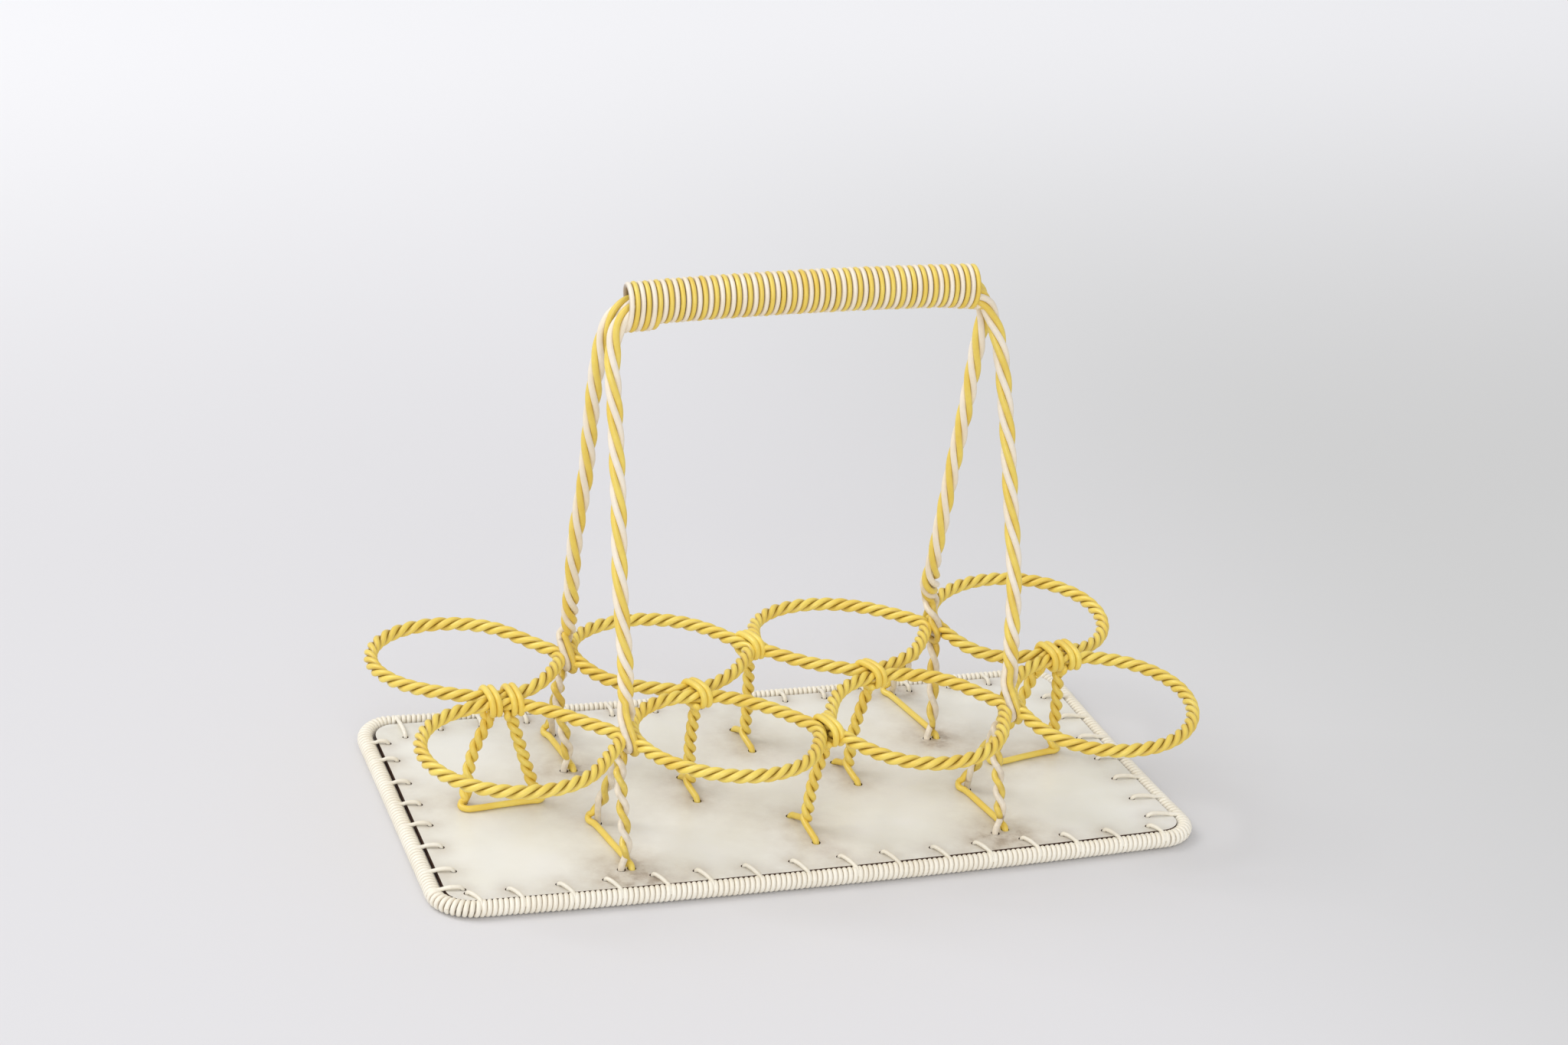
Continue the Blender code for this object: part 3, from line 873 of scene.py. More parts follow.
    def build_single(self, bench: Bench, tie: Tie) -> None:
        """Make a lashing of three turns on one leg whose strands part at the board.

        Args:
            bench: makes the pieces.
            tie: the lashing.
        """
        top = tie.centre + up(-self.hug - self.below_single)
        self.lash(bench, tie.name, self.turns(tie, 0.0, self.start_single), top, self.drawn_single)
        strands = self.leg(top, spot(tie.foot, self.foot_single), self.end_single, tie.bows[0])
        cords = []
        for strand, place in zip(strands, reversed(tie.holes)):
            hole = spot(place)
            way = (hole - Vector((*strand[-1].xy, 0))).normalized()
            down = [hole + way * run * MM + up(height) for run, height in self.plunge]
            cords.append(Cord.along(strand[::3] + down, self.step, grime=self.grime))
        self.pair_cores(cords)
        bench.make(f"wire_leg_{tie.name}", cords, self.sides, YELLOW_PVC, f"leg_{tie.name}",
                   f"foot_wire_{tie.name}")

    def build_double(self, bench: Bench, tie: Tie) -> None:
        """Make two lashings of two turns, their two legs and the wire between the legs' feet.

        Args:
            bench: makes the pieces.
            tie: the pair of lashings.
        """
        feet = []
        places = (spot(tie.foot), spot(tie.holes[1]) - RIGHT * self.beside)
        for number, (letter, way) in enumerate((("a", -1), ("b", 1))):
            top = tie.centre + tie.way * tie.tops[number] * MM + up(-self.hug - self.below_double)
            name = f"{tie.name}_{letter}"
            wound = self.turns(tie, way * tie.aside * MM, self.starts_double[number])
            self.lash(bench, name, wound, top, self.drawn_double)
            foot = places[number] + up(self.foot_double)
            outer, inner = self.leg(top, foot, self.end_double, tie.bows[number])
            hole = Vector((foot.x, foot.y + self.beside, 0))
            down = [hole + up(self.bend), hole + up(ENDS)]
            pair = [Cord.along(inner[:-4:3] + down, self.step, grime=self.grime),
                    Cord(outer, grime=self.grime)]
            bench.make(f"wire_leg_{name}", pair, self.sides, YELLOW_PVC, f"leg_{name}")
            feet.append(outer)
        near, far = (spot(hole, FLOOR) for hole in tie.holes)
        ways = ((far - near).normalized(), BACK, UP)
        corners = [feet[0][-6], feet[0][-1], *(offset(near, ways, step) for step in self.way_out),
                   near.lerp(far, 0.5) + BACK * self.sway,
                   *(offset(far, ways, step) for step in self.way_in),
                   feet[1][-1] + UP * self.rise, feet[1][-5]]
        cord = Cord.along(corners, self.step)
        bench.make(f"wire_foot_{tie.name}", [cord], self.sides, YELLOW_PVC, f"foot_wire_{tie.name}")

    def build(self, bench: Bench) -> None:
        """Make every lashing with its legs.

        Args:
            bench: makes the pieces.
        """
        for tie in SINGLE_TIES:
            self.build_single(bench, tie)
        for tie in DOUBLE_TIES:
            self.build_double(bench, tie)


# The hoops
@dataclass(frozen=True)
class Junction:
    """Where one end of a hoop grips two rings, in millimetres.

    It has its place, the loop and the end of its foot wire, the holes of the back and the front leg's cream
    strand, where the front leg comes out from under the ropes, how the front pair lies as it goes round them
    (degrees from yellow at the right), how loosely the rope is laid above it, and the rope's way up to the
    grip.
    """

    place: Pair
    loop: Pair
    end: Pair
    holes: tuple[Pair, Pair]
    leg_top: Triple
    lie: float
    slack: float
    rise: tuple[Triple, ...]


JUNCTIONS = {
    (Side.FRONT, Side.LEFT): Junction(
        MEET["front_12"], (-83.5, -18.7), (-78.0, -59.2), ((-80.6, -22.4), (-82.1, -59.4)),
        (-5.3, -10.4, 40.2), 28, 0.1,
        ((-75.7, -31.8, 62), (-75.6, -28.2, 76), (-77.8, -22.4, 105.6), (-78.7, -16.0, 139),
         (-80.0, -9.6, 170), (-81.0, -4.6, 193), (-79.6, -3.4, 203.4), (-75.9, -3.8, 209.4),
         (-68.0, -3.5, 211.9))),
    (Side.FRONT, Side.RIGHT): Junction(
        MEET["front_34"], (71.1, -19.7), (76.4, -57.2), ((74.0, -22.6), (71.4, -59.4)),
        (-5.0, -0.6, 37.5), 28, 0.1,
        ((82.8, -31.6, 64), (82.6, -30.0, 76), (82.8, -26.0, 98), (80.6, -18.6, 131.5), (78.2, -12.1, 161.2),
         (74.6, -6.2, 190), (71.2, -3.8, 201), (67.0, -3.6, 208.6), (60.0, -3.5, 212.0))),
    (Side.BACK, Side.LEFT): Junction(
        MEET["back_12"], (-80.6, 56.0), (-77.8, 21.7), ((-77.8, 53.0), (-81.6, 21.9)),
        (-5.9, -10.4, 40.2), 28, 0.25,
        ((-77.9, 39.0, 60.2), (-79.3, 34.2, 76), (-81.6, 25.5, 106.8), (-81.2, 18.9, 135.4),
         (-82.4, 12.6, 163.4), (-82.9, 6.6, 188), (-81.3, 4.2, 201.4), (-77.0, 3.6, 208.6),
         (-68.0, 3.5, 212.2))),
    (Side.BACK, Side.RIGHT): Junction(
        (78.8, 40.5), (71.2, 67.0), (78.3, 22.6), ((74.2, 63.4), (74.2, 22.4)),
        (0.2, -4.0, 40.6), -230, 0.75,
        ((77.0, 42.0, 62), (74.0, 35.6, 70.5), (71.0, 26.4, 89), (70.6, 21.2, 110), (70.9, 17.1, 133.3),
         (71.3, 11.6, 161.7), (70.9, 6.4, 188), (71.0, 4.2, 201), (67.6, 3.8, 209.6), (60.0, 3.5, 213.4))),
}


@dataclass
class Hoops:
    """The two hoops of four-strand rope, which part into pairs round the rings and end in legs."""

    sides: int = 12
    step: float = 0.9 * MM
    lay: float = 41 * MM
    leg_lay: float = 14.5 * MM
    # Where the front pair's yellow strand leaves the rope, seen from above
    leave: float = math.radians(250)
    # How far along its line a pair has settled, for each such angle that it turns, and where its leg starts
    settle: float = 9 * MM
    settle_angle: float = math.radians(150)
    wrapped: float = 24 * MM
    # Near its ends a rope is laid this many times as tightly, over this length
    tighten: float = 1.1
    tight_length: float = 17 * MM
    # It is slack most of all at this share of that length from its end, and so sharply
    slack_at: float = 0.7
    slack_sharp: float = 6
    # How a back pair lies on the ropes, and how the yellow strand lies at the foot of each pair
    back_lie: float = math.radians(-180)
    front_end: float = math.radians(200)
    back_end: float = math.radians(40)
    # Strands within this many radii of each other touch, and their core lies this far towards their middle
    touch: float = 2.9
    core_share: float = 0.75
    grime: float = 0.4
    foot_step: float = 0.6 * MM
    # A leg's foot stands this high, and the back leg's so far beside the loop, in millimetres right and back
    foot_height: float = FLOOR + 2.6 * MM
    beside_loop: Pair = (1.6, -1.6)
    # Two points of a leg, as shares of its way down
    leg_points: Pair = (0.33, 0.67)
    # The cream and the yellow strands bend down into their holes at these heights
    cream_bend: float = BOARD_TOP + 1.2 * MM
    yellow_bend: float = BOARD_TOP + 1.4 * MM
    # The yellow one bends so far to the left of a hole that lies this share of the way back to the loop
    yellow_aside: float = 0.6 * MM
    hole_share: float = 0.06
    # Each pair's way round the two ropes, in millimetres right, back and up from where the rings meet
    over_front: tuple[Triple, ...] = (
        (-1.7, 0.9, 58.6), (-1.5, -2.6, 55.4), (-0.5, -5.4, 51.7), (0.5, -6.8, 48.4), (0.8, -6.2, 45.8),
        (0.6, -3.2, 44.5), (-0.2, 1.2, 43.8))
    over_back: tuple[Triple, ...] = (
        (1.9, 5.2, 57.4), (2.4, 7.4, 53.4), (1.8, 7.8, 49.6), (0.9, 6.6, 46.3), (-0.2, 3.2, 43.6))
    # A foot wire's way out of the back leg and into its hole, in millimetres right, along the wire and up
    way_out: tuple[Triple, ...] = ((0.2, 0.2, 0.9), (-0.9, 2.6, 0), (0, 6, 0))
    way_in: tuple[Triple, ...] = ((0, -3.6, 0.1), (0, -0.4, -0.3), (0, 0.5, -1.8), (0, 0.5, -4.0))
    # In between it sways so far to the right
    sway: float = 0.2 * MM

    def rope_route(self, row: Side) -> Route:
        """Draw the centre line of a hoop.

        Args:
            row: the hoop's row.

        Returns:
            The line, from its left end through the grip to its right end.
        """
        left, right = JUNCTIONS[row, Side.LEFT].rise, JUNCTIONS[row, Side.RIGHT].rise
        route = Route.through([Vector(point) * MM for point in left + right[::-1]], self.step)
        route.face(BACK, carried=True)
        return route

    def leg_foot(self, junction: Junction, front: bool) -> Vector:
        """Return the middle of the lower end of a hoop's front or back leg."""
        beside = spot(junction.end) if front else spot(junction.loop) + spot(self.beside_loop)
        return beside.lerp(spot(junction.holes[1 if front else 0]), 0.5) + up(self.foot_height)

    def tail(self, junction: Junction, start: Vector, before: Vector, front: bool) -> Route:
        """Draw one pair's line from the rope's end round the ropes and down to its foot.

        Args:
            junction: where the hoop ends.
            start: the pair's last point on the rope.
            before: a point of the pair a little earlier.
            front: whether it is the pair that passes in front; it ends in the back leg.

        Returns:
            The line.
        """
        way = self.over_front if front else self.over_back + (junction.leg_top,)
        corners = [before, start, *(spot(junction.place) + Vector(point) * MM for point in way)]
        foot = self.leg_foot(junction, not front)
        corners += [*(corners[-1].lerp(foot, share) for share in self.leg_points), foot]
        skip = max(1, round((start - before).length / self.step))
        return Route(Route.through(corners, self.step).points[skip:])

    def pair_strands(self, route: Route, across: Vector, lie: float, end: float) -> list[list[Vector]]:
        """Lay a yellow and a cream strand along a pair's line, flat over the ropes and twisted in the leg.

        Args:
            route: the pair's line.
            across: the way from the pair's line to its yellow strand at the start.
            lie: the angle from the right at which the yellow strand lies on the ropes.
            end: its angle at the foot.

        Returns:
            The yellow and the cream strand.
        """
        route.face(RIGHT)
        start = route.angle_of(0, across)
        settle = self.settle * max(1.0, abs(lie - start) / self.settle_angle)
        leg = (len(route.points) - 1) * self.step - self.wrapped
        whole = round(leg / self.leg_lay - (end - lie) / LAY_TURN)
        leg_turn = (end - lie + LAY_TURN * whole) / leg
        strands = [[], []]
        for index, point in enumerate(route.points):
            run = index * self.step
            share = min(1.0, run / settle)
            settled = share * share * (3 - 2 * share)
            angle = start + (lie - start) * settled + leg_turn * max(0.0, run - self.wrapped)
            way = route.around(index, angle) * WIRE_RADIUS
            strands[0].append(point + way)
            strands[1].append(point - way)
        return strands

    def rope_strands(self, row: Side, route: Route) -> tuple[list[list[Vector]], int]:
        """Lay the rope's four strands so that a yellow one leaves towards the front at both ends.

        Args:
            row: the hoop's row.
            route: the rope's line.

        Returns:
            The strands, yellow and cream in turn, and which of them leaves at the front on the right.
        """
        leave = Vector((math.cos(self.leave), math.sin(self.leave), 0))
        last = len(route.points) - 1
        left, right = route.angle_of(0, leave), route.angle_of(last, leave)
        slack_left, slack_right = (JUNCTIONS[row, side].slack for side in (Side.LEFT, Side.RIGHT))
        shares, spread = [0.0], []
        for index in range(last + 1):
            run = index * self.step / self.tight_length
            rest = (last - index) * self.step / self.tight_length
            shares.append(shares[-1] + 1 + self.tighten * (math.exp(-run * run) + math.exp(-rest * rest)))
            loose = sum(slack * math.exp(-(way - self.slack_at) ** 2 * self.slack_sharp)
                        for slack, way in ((slack_left, run), (slack_right, rest)))
            spread.append(WIRE_RADIUS * (math.sqrt(2) + loose))
        gap = (left - right) / (2 * math.pi)
        halves = round(2 * (shares[-1] * self.step / self.lay - gap))
        twist = LAY_TURN * (gap + halves / 2) / shares[last]
        lines = []
        for number in range(4):
            start = left + number * math.pi / 2
            lines.append([point + route.around(index, start + twist * shares[index]) * spread[index]
                          for index, point in enumerate(route.points)])
        return lines, 0 if halves % 2 == 0 else 2

    def end_strands(self, junction: Junction, front: bool, yellow: list[Vector],
                    cream: list[Vector]) -> tuple[list[Vector], list[Vector]]:
        """End a leg's strands: the cream one in its hole, the front leg's yellow one beside the foot wire.

        Args:
            junction: where the hoop ends.
            front: whether the pair passes in front.
            yellow: its yellow strand.
            cream: its cream strand.

        Returns:
            The yellow and the cream strand with their ends.
        """
        hole = spot(junction.holes[0 if front else 1])
        down = [hole + up(self.cream_bend), hole + up(ENDS)]
        cream = Route.through(cream[:-4:3] + down, self.step).points
        if not front:
            hole = spot(junction.end).lerp(spot(junction.loop), self.hole_share)
            down = [hole - RIGHT * self.yellow_aside + up(self.yellow_bend), hole + up(ENDS)]
            yellow = Route.through(yellow[:-4:3] + down, self.step).points
        return yellow, cream

    def cores(self, cords: list[Cord]) -> None:
        """Find the line that each strand winds round: the middle of the strands that touch it.

        Args:
            cords: the hoop's strands.
        """
        owners = [number for number, cord in enumerate(cords) for _ in cord.points]
        tree = KDTree(len(owners))
        for index, point in enumerate(point for cord in cords for point in cord.points):
            tree.insert(point, index)
        tree.balance()
        for number, cord in enumerate(cords):
            cord.core = []
            for point in cord.points:
                near = tree.find_range(point, self.touch * cord.radius)
                close = [place for place, index, _ in near if owners[index] != number]
                heart = sum(close, Vector()) / len(close) if close else point
                cord.core.append(point.lerp(heart, self.core_share) if close else point)

    def foot_wire(self, bench: Bench, name: str, junction: Junction, yellow: list[Vector]) -> None:
        """Make the wire that loops out of the back leg and lies along the board to the front leg.

        Args:
            bench: makes the piece.
            name: the wire's row and side.
            junction: where the hoop ends.
            yellow: the strand of the back leg that it goes on from.
        """
        back, end = spot(junction.loop, FLOOR), spot(junction.end, FLOOR)
        ways = (RIGHT, (end - back).normalized(), UP)
        corners = [yellow[-6], yellow[-1], *(offset(back, ways, step) for step in self.way_out),
                   back.lerp(end, 0.5) + RIGHT * self.sway,
                   *(offset(end, ways, step) for step in self.way_in)]
        cord = Cord.along(corners, self.foot_step)
        bench.make(f"wire_foot_{name}", [cord], self.sides, YELLOW_PVC, f"foot_wire_{name}")

    def build_row(self, bench: Bench, row: Side) -> None:
        """Make one hoop and the wires at its feet.

        Args:
            bench: makes the pieces.
            row: the hoop's row.
        """
        lines, front_right = self.rope_strands(row, self.rope_route(row))
        heads, tails = [[]] * 4, [[]] * 4
        feet = []
        for side, ends, shift, lead, at, earlier in ((Side.LEFT, heads, -1, 0, 0, 4),
                                                     (Side.RIGHT, tails, 1, front_right, -1, -5)):
            junction = JUNCTIONS[row, side]
            for front in (True, False):
                gold = lead if front else (lead + 2) % 4
                pale = (gold + shift) % 4
                middle, before = (lines[gold][place].lerp(lines[pale][place], 0.5) for place in (at, earlier))
                route = self.tail(junction, middle, before, front)
                across = (lines[gold][at] - middle).normalized()
                lie = math.radians(junction.lie) if front else self.back_lie
                end = self.front_end if front else self.back_end
                yellow, cream = self.pair_strands(route, across, lie, end)
                if front:
                    feet.append((f"{row.value}_{side.value}", junction, yellow))
                ends[gold], ends[pale] = self.end_strands(junction, front, yellow, cream)
        done = [Cord.along((head[::-1] + line[2:-2] + tail)[::2], self.step, grime=self.grime)
                for head, line, tail in zip(heads, lines, tails)]
        self.cores(done)
        for first, colour, finish in ((0, "yellow", YELLOW_PVC), (1, "cream", CREAM_PVC)):
            name = f"{row.value}_{colour}"
            bench.make(f"hoop_rope_{name}", done[first::2], self.sides, finish, f"hoop_{name}")
        for foot in feet:
            self.foot_wire(bench, *foot)

    def build(self, bench: Bench) -> None:
        """Make both hoops."""
        for row in (Side.FRONT, Side.BACK):
            self.build_row(bench, row)


@dataclass
class Grip:
    """The grip: a yellow and a cream cord wound side by side round the two hoops."""

    radius: float = 1.07 * MM
    sides: int = 8
    reach: float = 7.36 * MM
    left: Vector = field(default_factory=lambda: Vector((-74.6, 0, 211.9)) * MM)
    right: Vector = field(default_factory=lambda: Vector((67.4, 0, 213.4)) * MM)
    arch: float = 1.3 * MM
    pitch: float = 4.385 * MM
    turns: float = 32.4
    points_per_turn: int = 36
    # How many turns hang lower at the left and at the right end, how far, and how suddenly at the left
    loose: Pair = (2.75, 4.0)
    droop: Pair = (2.5 * MM, 1.3 * MM)
    slump: float = 6
    # The lower half of a turn hangs the flatter, the lower this is
    hang_power: float = 0.7
    # A turn leans, and the grip's thickness varies by this share, so fast
    lean: float = 0.5 * MM
    uneven: float = 0.012
    uneven_rate: float = 2.1
    # Each cord: its angle at the grip's left end, and how many turns after it the cord begins and ends
    cream: Triple = (math.radians(190), -0.30, 31.9)
    yellow: Triple = (math.radians(10), 0.14, 32.4)

    def centre(self, share: float) -> Vector:
        """Return a point of the grip's slightly arched line."""
        return self.left.lerp(self.right, share) + up(self.arch * 4 * share * (1 - share))

    def line(self, start: float, first: float, last: float) -> Cord:
        """Wind one cord.

        Args:
            start: the cord's angle at the grip's left end.
            first: how many turns after it the cord begins.
            last: how many turns after it the cord ends.

        Returns:
            The cord, with the grip's line as its core.
        """
        length = (self.right - self.left).length
        points, hearts = [], []
        for index in range(round(first * self.points_per_turn), round(last * self.points_per_turn) + 1):
            turn = index / self.points_per_turn
            heart = self.centre((turn * self.pitch - self.radius) / length)
            angle = start - 2 * math.pi * turn
            slack_left = min(1.0, self.slump * max(0.0, 1 - turn / self.loose[0]))
            slack_right = max(0.0, 1 - (self.turns - turn) / self.loose[1])
            hang = max(0.0, -math.sin(angle)) ** self.hang_power
            sag = (self.droop[0] * slack_left + self.droop[1] * slack_right) * hang
            swell = self.reach * (1 + self.uneven * math.sin(turn * self.uneven_rate + start))
            lean = -self.lean * math.sin(angle)
            points.append(heart + Vector((lean, math.cos(angle) * swell, math.sin(angle) * swell - sag)))
            hearts.append(heart)
        return Cord(points, self.radius, core=hearts)

    def build(self, bench: Bench) -> None:
        """Wind both cords."""
        for name, finish, run in (("cream", CREAM_PVC, self.cream), ("yellow", YELLOW_PVC, self.yellow)):
            bench.make(f"grip_cord_{name}", [self.line(*run)], self.sides, finish, f"grip_winding_{name}")


# The base and its rim
@dataclass(frozen=True)
class Drift:
    """How far the worn rim and board stand out from a true rectangle, side by side, in millimetres.

    Each side has its value in the middle, its growth towards the right or the back end, and its bow.
    """

    half_x: float = 150 * MM
    half_y: float = 72 * MM
    left: Triple = (0.0, -1.7, 0.0)
    right: Triple = (-3.8, -1.1, 1.6)
    front: Triple = (1.0, -0.3, -3.2)
    back: Triple = (0.0, -1.9, 2.2)

    @staticmethod
    def out(side: Triple, share: float) -> float:
        """Return how far a side stands out, from -1 at its left or front end to 1."""
        return (side[0] + side[1] * share + side[2] * share * share) * MM

    def move(self, point: Vector) -> Vector:
        """Find the place that a point of the true rectangle has on the worn one.

        Args:
            point: the point on the true rectangle.

        Returns:
            The point on the worn one.
        """
        u, v = point.x / self.half_x, point.y / self.half_y
        right, left, back, front = (max(0.0, way) ** 3 for way in (u, -u, v, -v))
        along_x = self.out(self.right, v) * right - self.out(self.left, v) * left
        along_y = self.out(self.back, u) * back - self.out(self.front, u) * front
        return point + Vector((along_x, along_y, 0))


@dataclass
class Rim:
    """The rim: a wire loop, wound all round with cord, and laced to the board."""

    half_x: float = 153.65 * MM
    half_y: float = 75.05 * MM
    corner: float = 14 * MM
    height: float = 3.47 * MM
    core: float = 1.25 * MM
    core_step: float = 3 * MM
    reach: float = 2.35 * MM
    cord: float = 1.05 * MM
    sides: int = 8
    lace: float = 0.84 * MM
    lace_step: float = 0.6 * MM
    lace_grime: float = 0.15
    pitch: float = 2.08 * MM
    points_per_turn: int = 12
    arc_points: int = 25
    side_points: int = 12
    # The winding's thickness varies by these shares, at these rates, from point to point
    uneven: tuple[Pair, ...] = ((0.008, 0.37), (0.012, 0.083))
    # Each side's way out, and how far, in millimetres to the right and back, its stitches lean
    leans: dict[Side, tuple[Vector, Pair]] = field(default_factory=lambda: {
        Side.BACK: (BACK, (0.4, 0)), Side.LEFT: (-RIGHT, (0, 1.2)), Side.FRONT: (-BACK, (3.6, 0)),
        Side.RIGHT: (RIGHT, (0, -1.2))})
    # Each side's lacing holes: how far in they lie, and where along the board, in millimetres
    front_in: float = -65.7
    front_holes: tuple[float, ...] = (-144.0, -128.1, -108.6, -90.3, -71.6, -54.4, -35.1, -15.9, 3.7, 21.4,
                                      42.1, 59.9, 80.0, 97.2, 115.4, 134.5)
    back_in: float = 65.4
    back_holes: tuple[float, ...] = (-121.0, -104.0, -85.0, -67.0, -48.5, -29.8, -10.6, 8.0, 27.1, 44.5,
                                     63.0, 82.9, 101.0, 119.3)
    back_corner_hole: Pair = (-136.6, 61.6)
    left_in: float = -144.6
    left_holes: tuple[float, ...] = (57.3, 42.2, 22.7, 5.0, -12.0, -29.7, -48.5, -62.6)
    right_in: float = 137.8
    right_holes: tuple[float, ...] = (49.2, 30.0, 11.1, -7.6, -25.3, -42.7, -57.9)

    def loop(self) -> list[Vector]:
        """Draw the rim's line, close points from the middle of the right back corner, anticlockwise.

        Returns:
            The points, of which the last is the first again.
        """
        drift = Drift()
        signs = ((1, 1), (-1, 1), (-1, -1), (1, -1))
        middle_x, middle_y = self.half_x - self.corner, self.half_y - self.corner
        points = []
        for index, (side_x, side_y) in enumerate(signs):
            centre = Vector((side_x * middle_x, side_y * middle_y, self.height))
            arc = []
            for number in range(self.arc_points):
                angle = math.radians(90 * (index + number / (self.arc_points - 1)))
                arc.append(centre + Vector((math.cos(angle), math.sin(angle), 0)) * self.corner)
            next_x, next_y = signs[(index + 1) % 4]
            after = arc[-1] + Vector(((next_x - side_x) * middle_x, (next_y - side_y) * middle_y, 0))
            points += arc + [arc[-1].lerp(after, number / (self.side_points + 1))
                             for number in range(1, self.side_points + 1)]
        points = [drift.move(point) for point in points]
        start = self.arc_points // 2
        return points[start:] + points[:start + 1]

    def stretches(self) -> list[list[Vector]]:
        """Part the rim's line at the middles of its corners.

        Returns:
            The line of the back, left, front and right side.
        """
        loop = self.loop()
        count = self.arc_points + self.side_points
        return [loop[index * count:(index + 1) * count + 1] for index in range(4)]

    def holes(self) -> dict[Side, list[Vector]]:
        """Place the lacing holes.

        Returns:
            The holes of each side.
        """
        return {Side.BACK: [spot((x, self.back_in)) for x in self.back_holes] + [spot(self.back_corner_hole)],
                Side.LEFT: [spot((self.left_in, y)) for y in self.left_holes],
                Side.FRONT: [spot((x, self.front_in)) for x in self.front_holes],
                Side.RIGHT: [spot((self.right_in, y)) for y in self.right_holes]}

    def winding(self, line: list[Vector]) -> Cord:
        """Wind cord round one stretch of the rim's wire.

        Args:
            line: the wire's points.

        Returns:
            The cord, with the wire's line as its core.
        """
        length = sum((b - a).length for a, b in zip(line, line[1:]))
        route = Route.through(line, self.pitch / self.points_per_turn)
        total = round(length / self.pitch) * self.points_per_turn
        points, hearts = [], []
        last = len(route.points) - 1
        for index in range(total + 1):
            place = index / total * last
            low = min(int(place), last - 1)
            heart = route.points[low].lerp(route.points[low + 1], place - low)
            side = route.tangent(low).cross(UP)
            angle = 2 * math.pi * index / self.points_per_turn
            swell = 1 + sum(share * math.sin(index * rate) for share, rate in self.uneven)
            points.append(heart + (side * math.cos(angle) + UP * math.sin(angle)) * self.reach * swell)
            hearts.append(heart)
        return Cord(points, self.cord, core=hearts)

    def stitch(self, side: Side, hole: Vector) -> Cord:
        """Draw one stitch: out of its hole, over the board's edge and round into the winding.

        Args:
            side: the stitch's side.
            hole: its hole.

        Returns:
            The cord.
        """
        out, leaning = self.leans[side]
        slant = spot(leaning)
        edge = Vector((out.x * self.half_x or hole.x, out.y * self.half_y or hole.y, 0))
        run = (Drift().move(edge) - hole).dot(out)
        top, crest = BOARD_TOP + self.lace, self.height + self.reach
        # How far out each point lies, how much of the slant it has, and its height
        corners = ((0.0, 0.0, BOARD_BOTTOM), (0.0, 0.0, BOARD_TOP - 0.6 * MM),
                   (0.8 * MM, 0.05, top + 0.1 * MM), (run * 0.45, 0.5, top + 0.4 * MM),
                   (run - 2.6 * MM, 0.9, crest + 0.5 * MM),
                   (run - 0.9 * MM, 1.0, crest + 0.35 * MM), (run + 1.1 * MM, 1.03, crest - 0.25 * MM),
                   (run + 2.1 * MM, 1.04, self.height + 0.5 * MM))
        line = [hole + out * far + slant * share + up(height) for far, share, height in corners]
        return Cord.along(line, self.lace_step, self.lace, self.lace_grime)

    def build(self, bench: Bench) -> None:
        """Make the wire, the winding and the lacing.

        Args:
            bench: makes the pieces.
        """
        core = Route.through(self.loop()[:-1], self.core_step, closed=True)
        wire = Cord(core.points, self.core, closed=True)
        bench.make("rim_core_wire", [wire], self.sides, RIM_PVC, "rim_wire")
        for (side, holes), line in zip(self.holes().items(), self.stretches()):
            name = side.value
            bench.make(f"rim_cord_{name}", [self.winding(line)], self.sides, RIM_PVC, f"rim_winding_{name}")
            stitches = [self.stitch(side, hole) for hole in holes]
            bench.make(f"rim_lacing_{name}", stitches, self.sides, RIM_PVC)


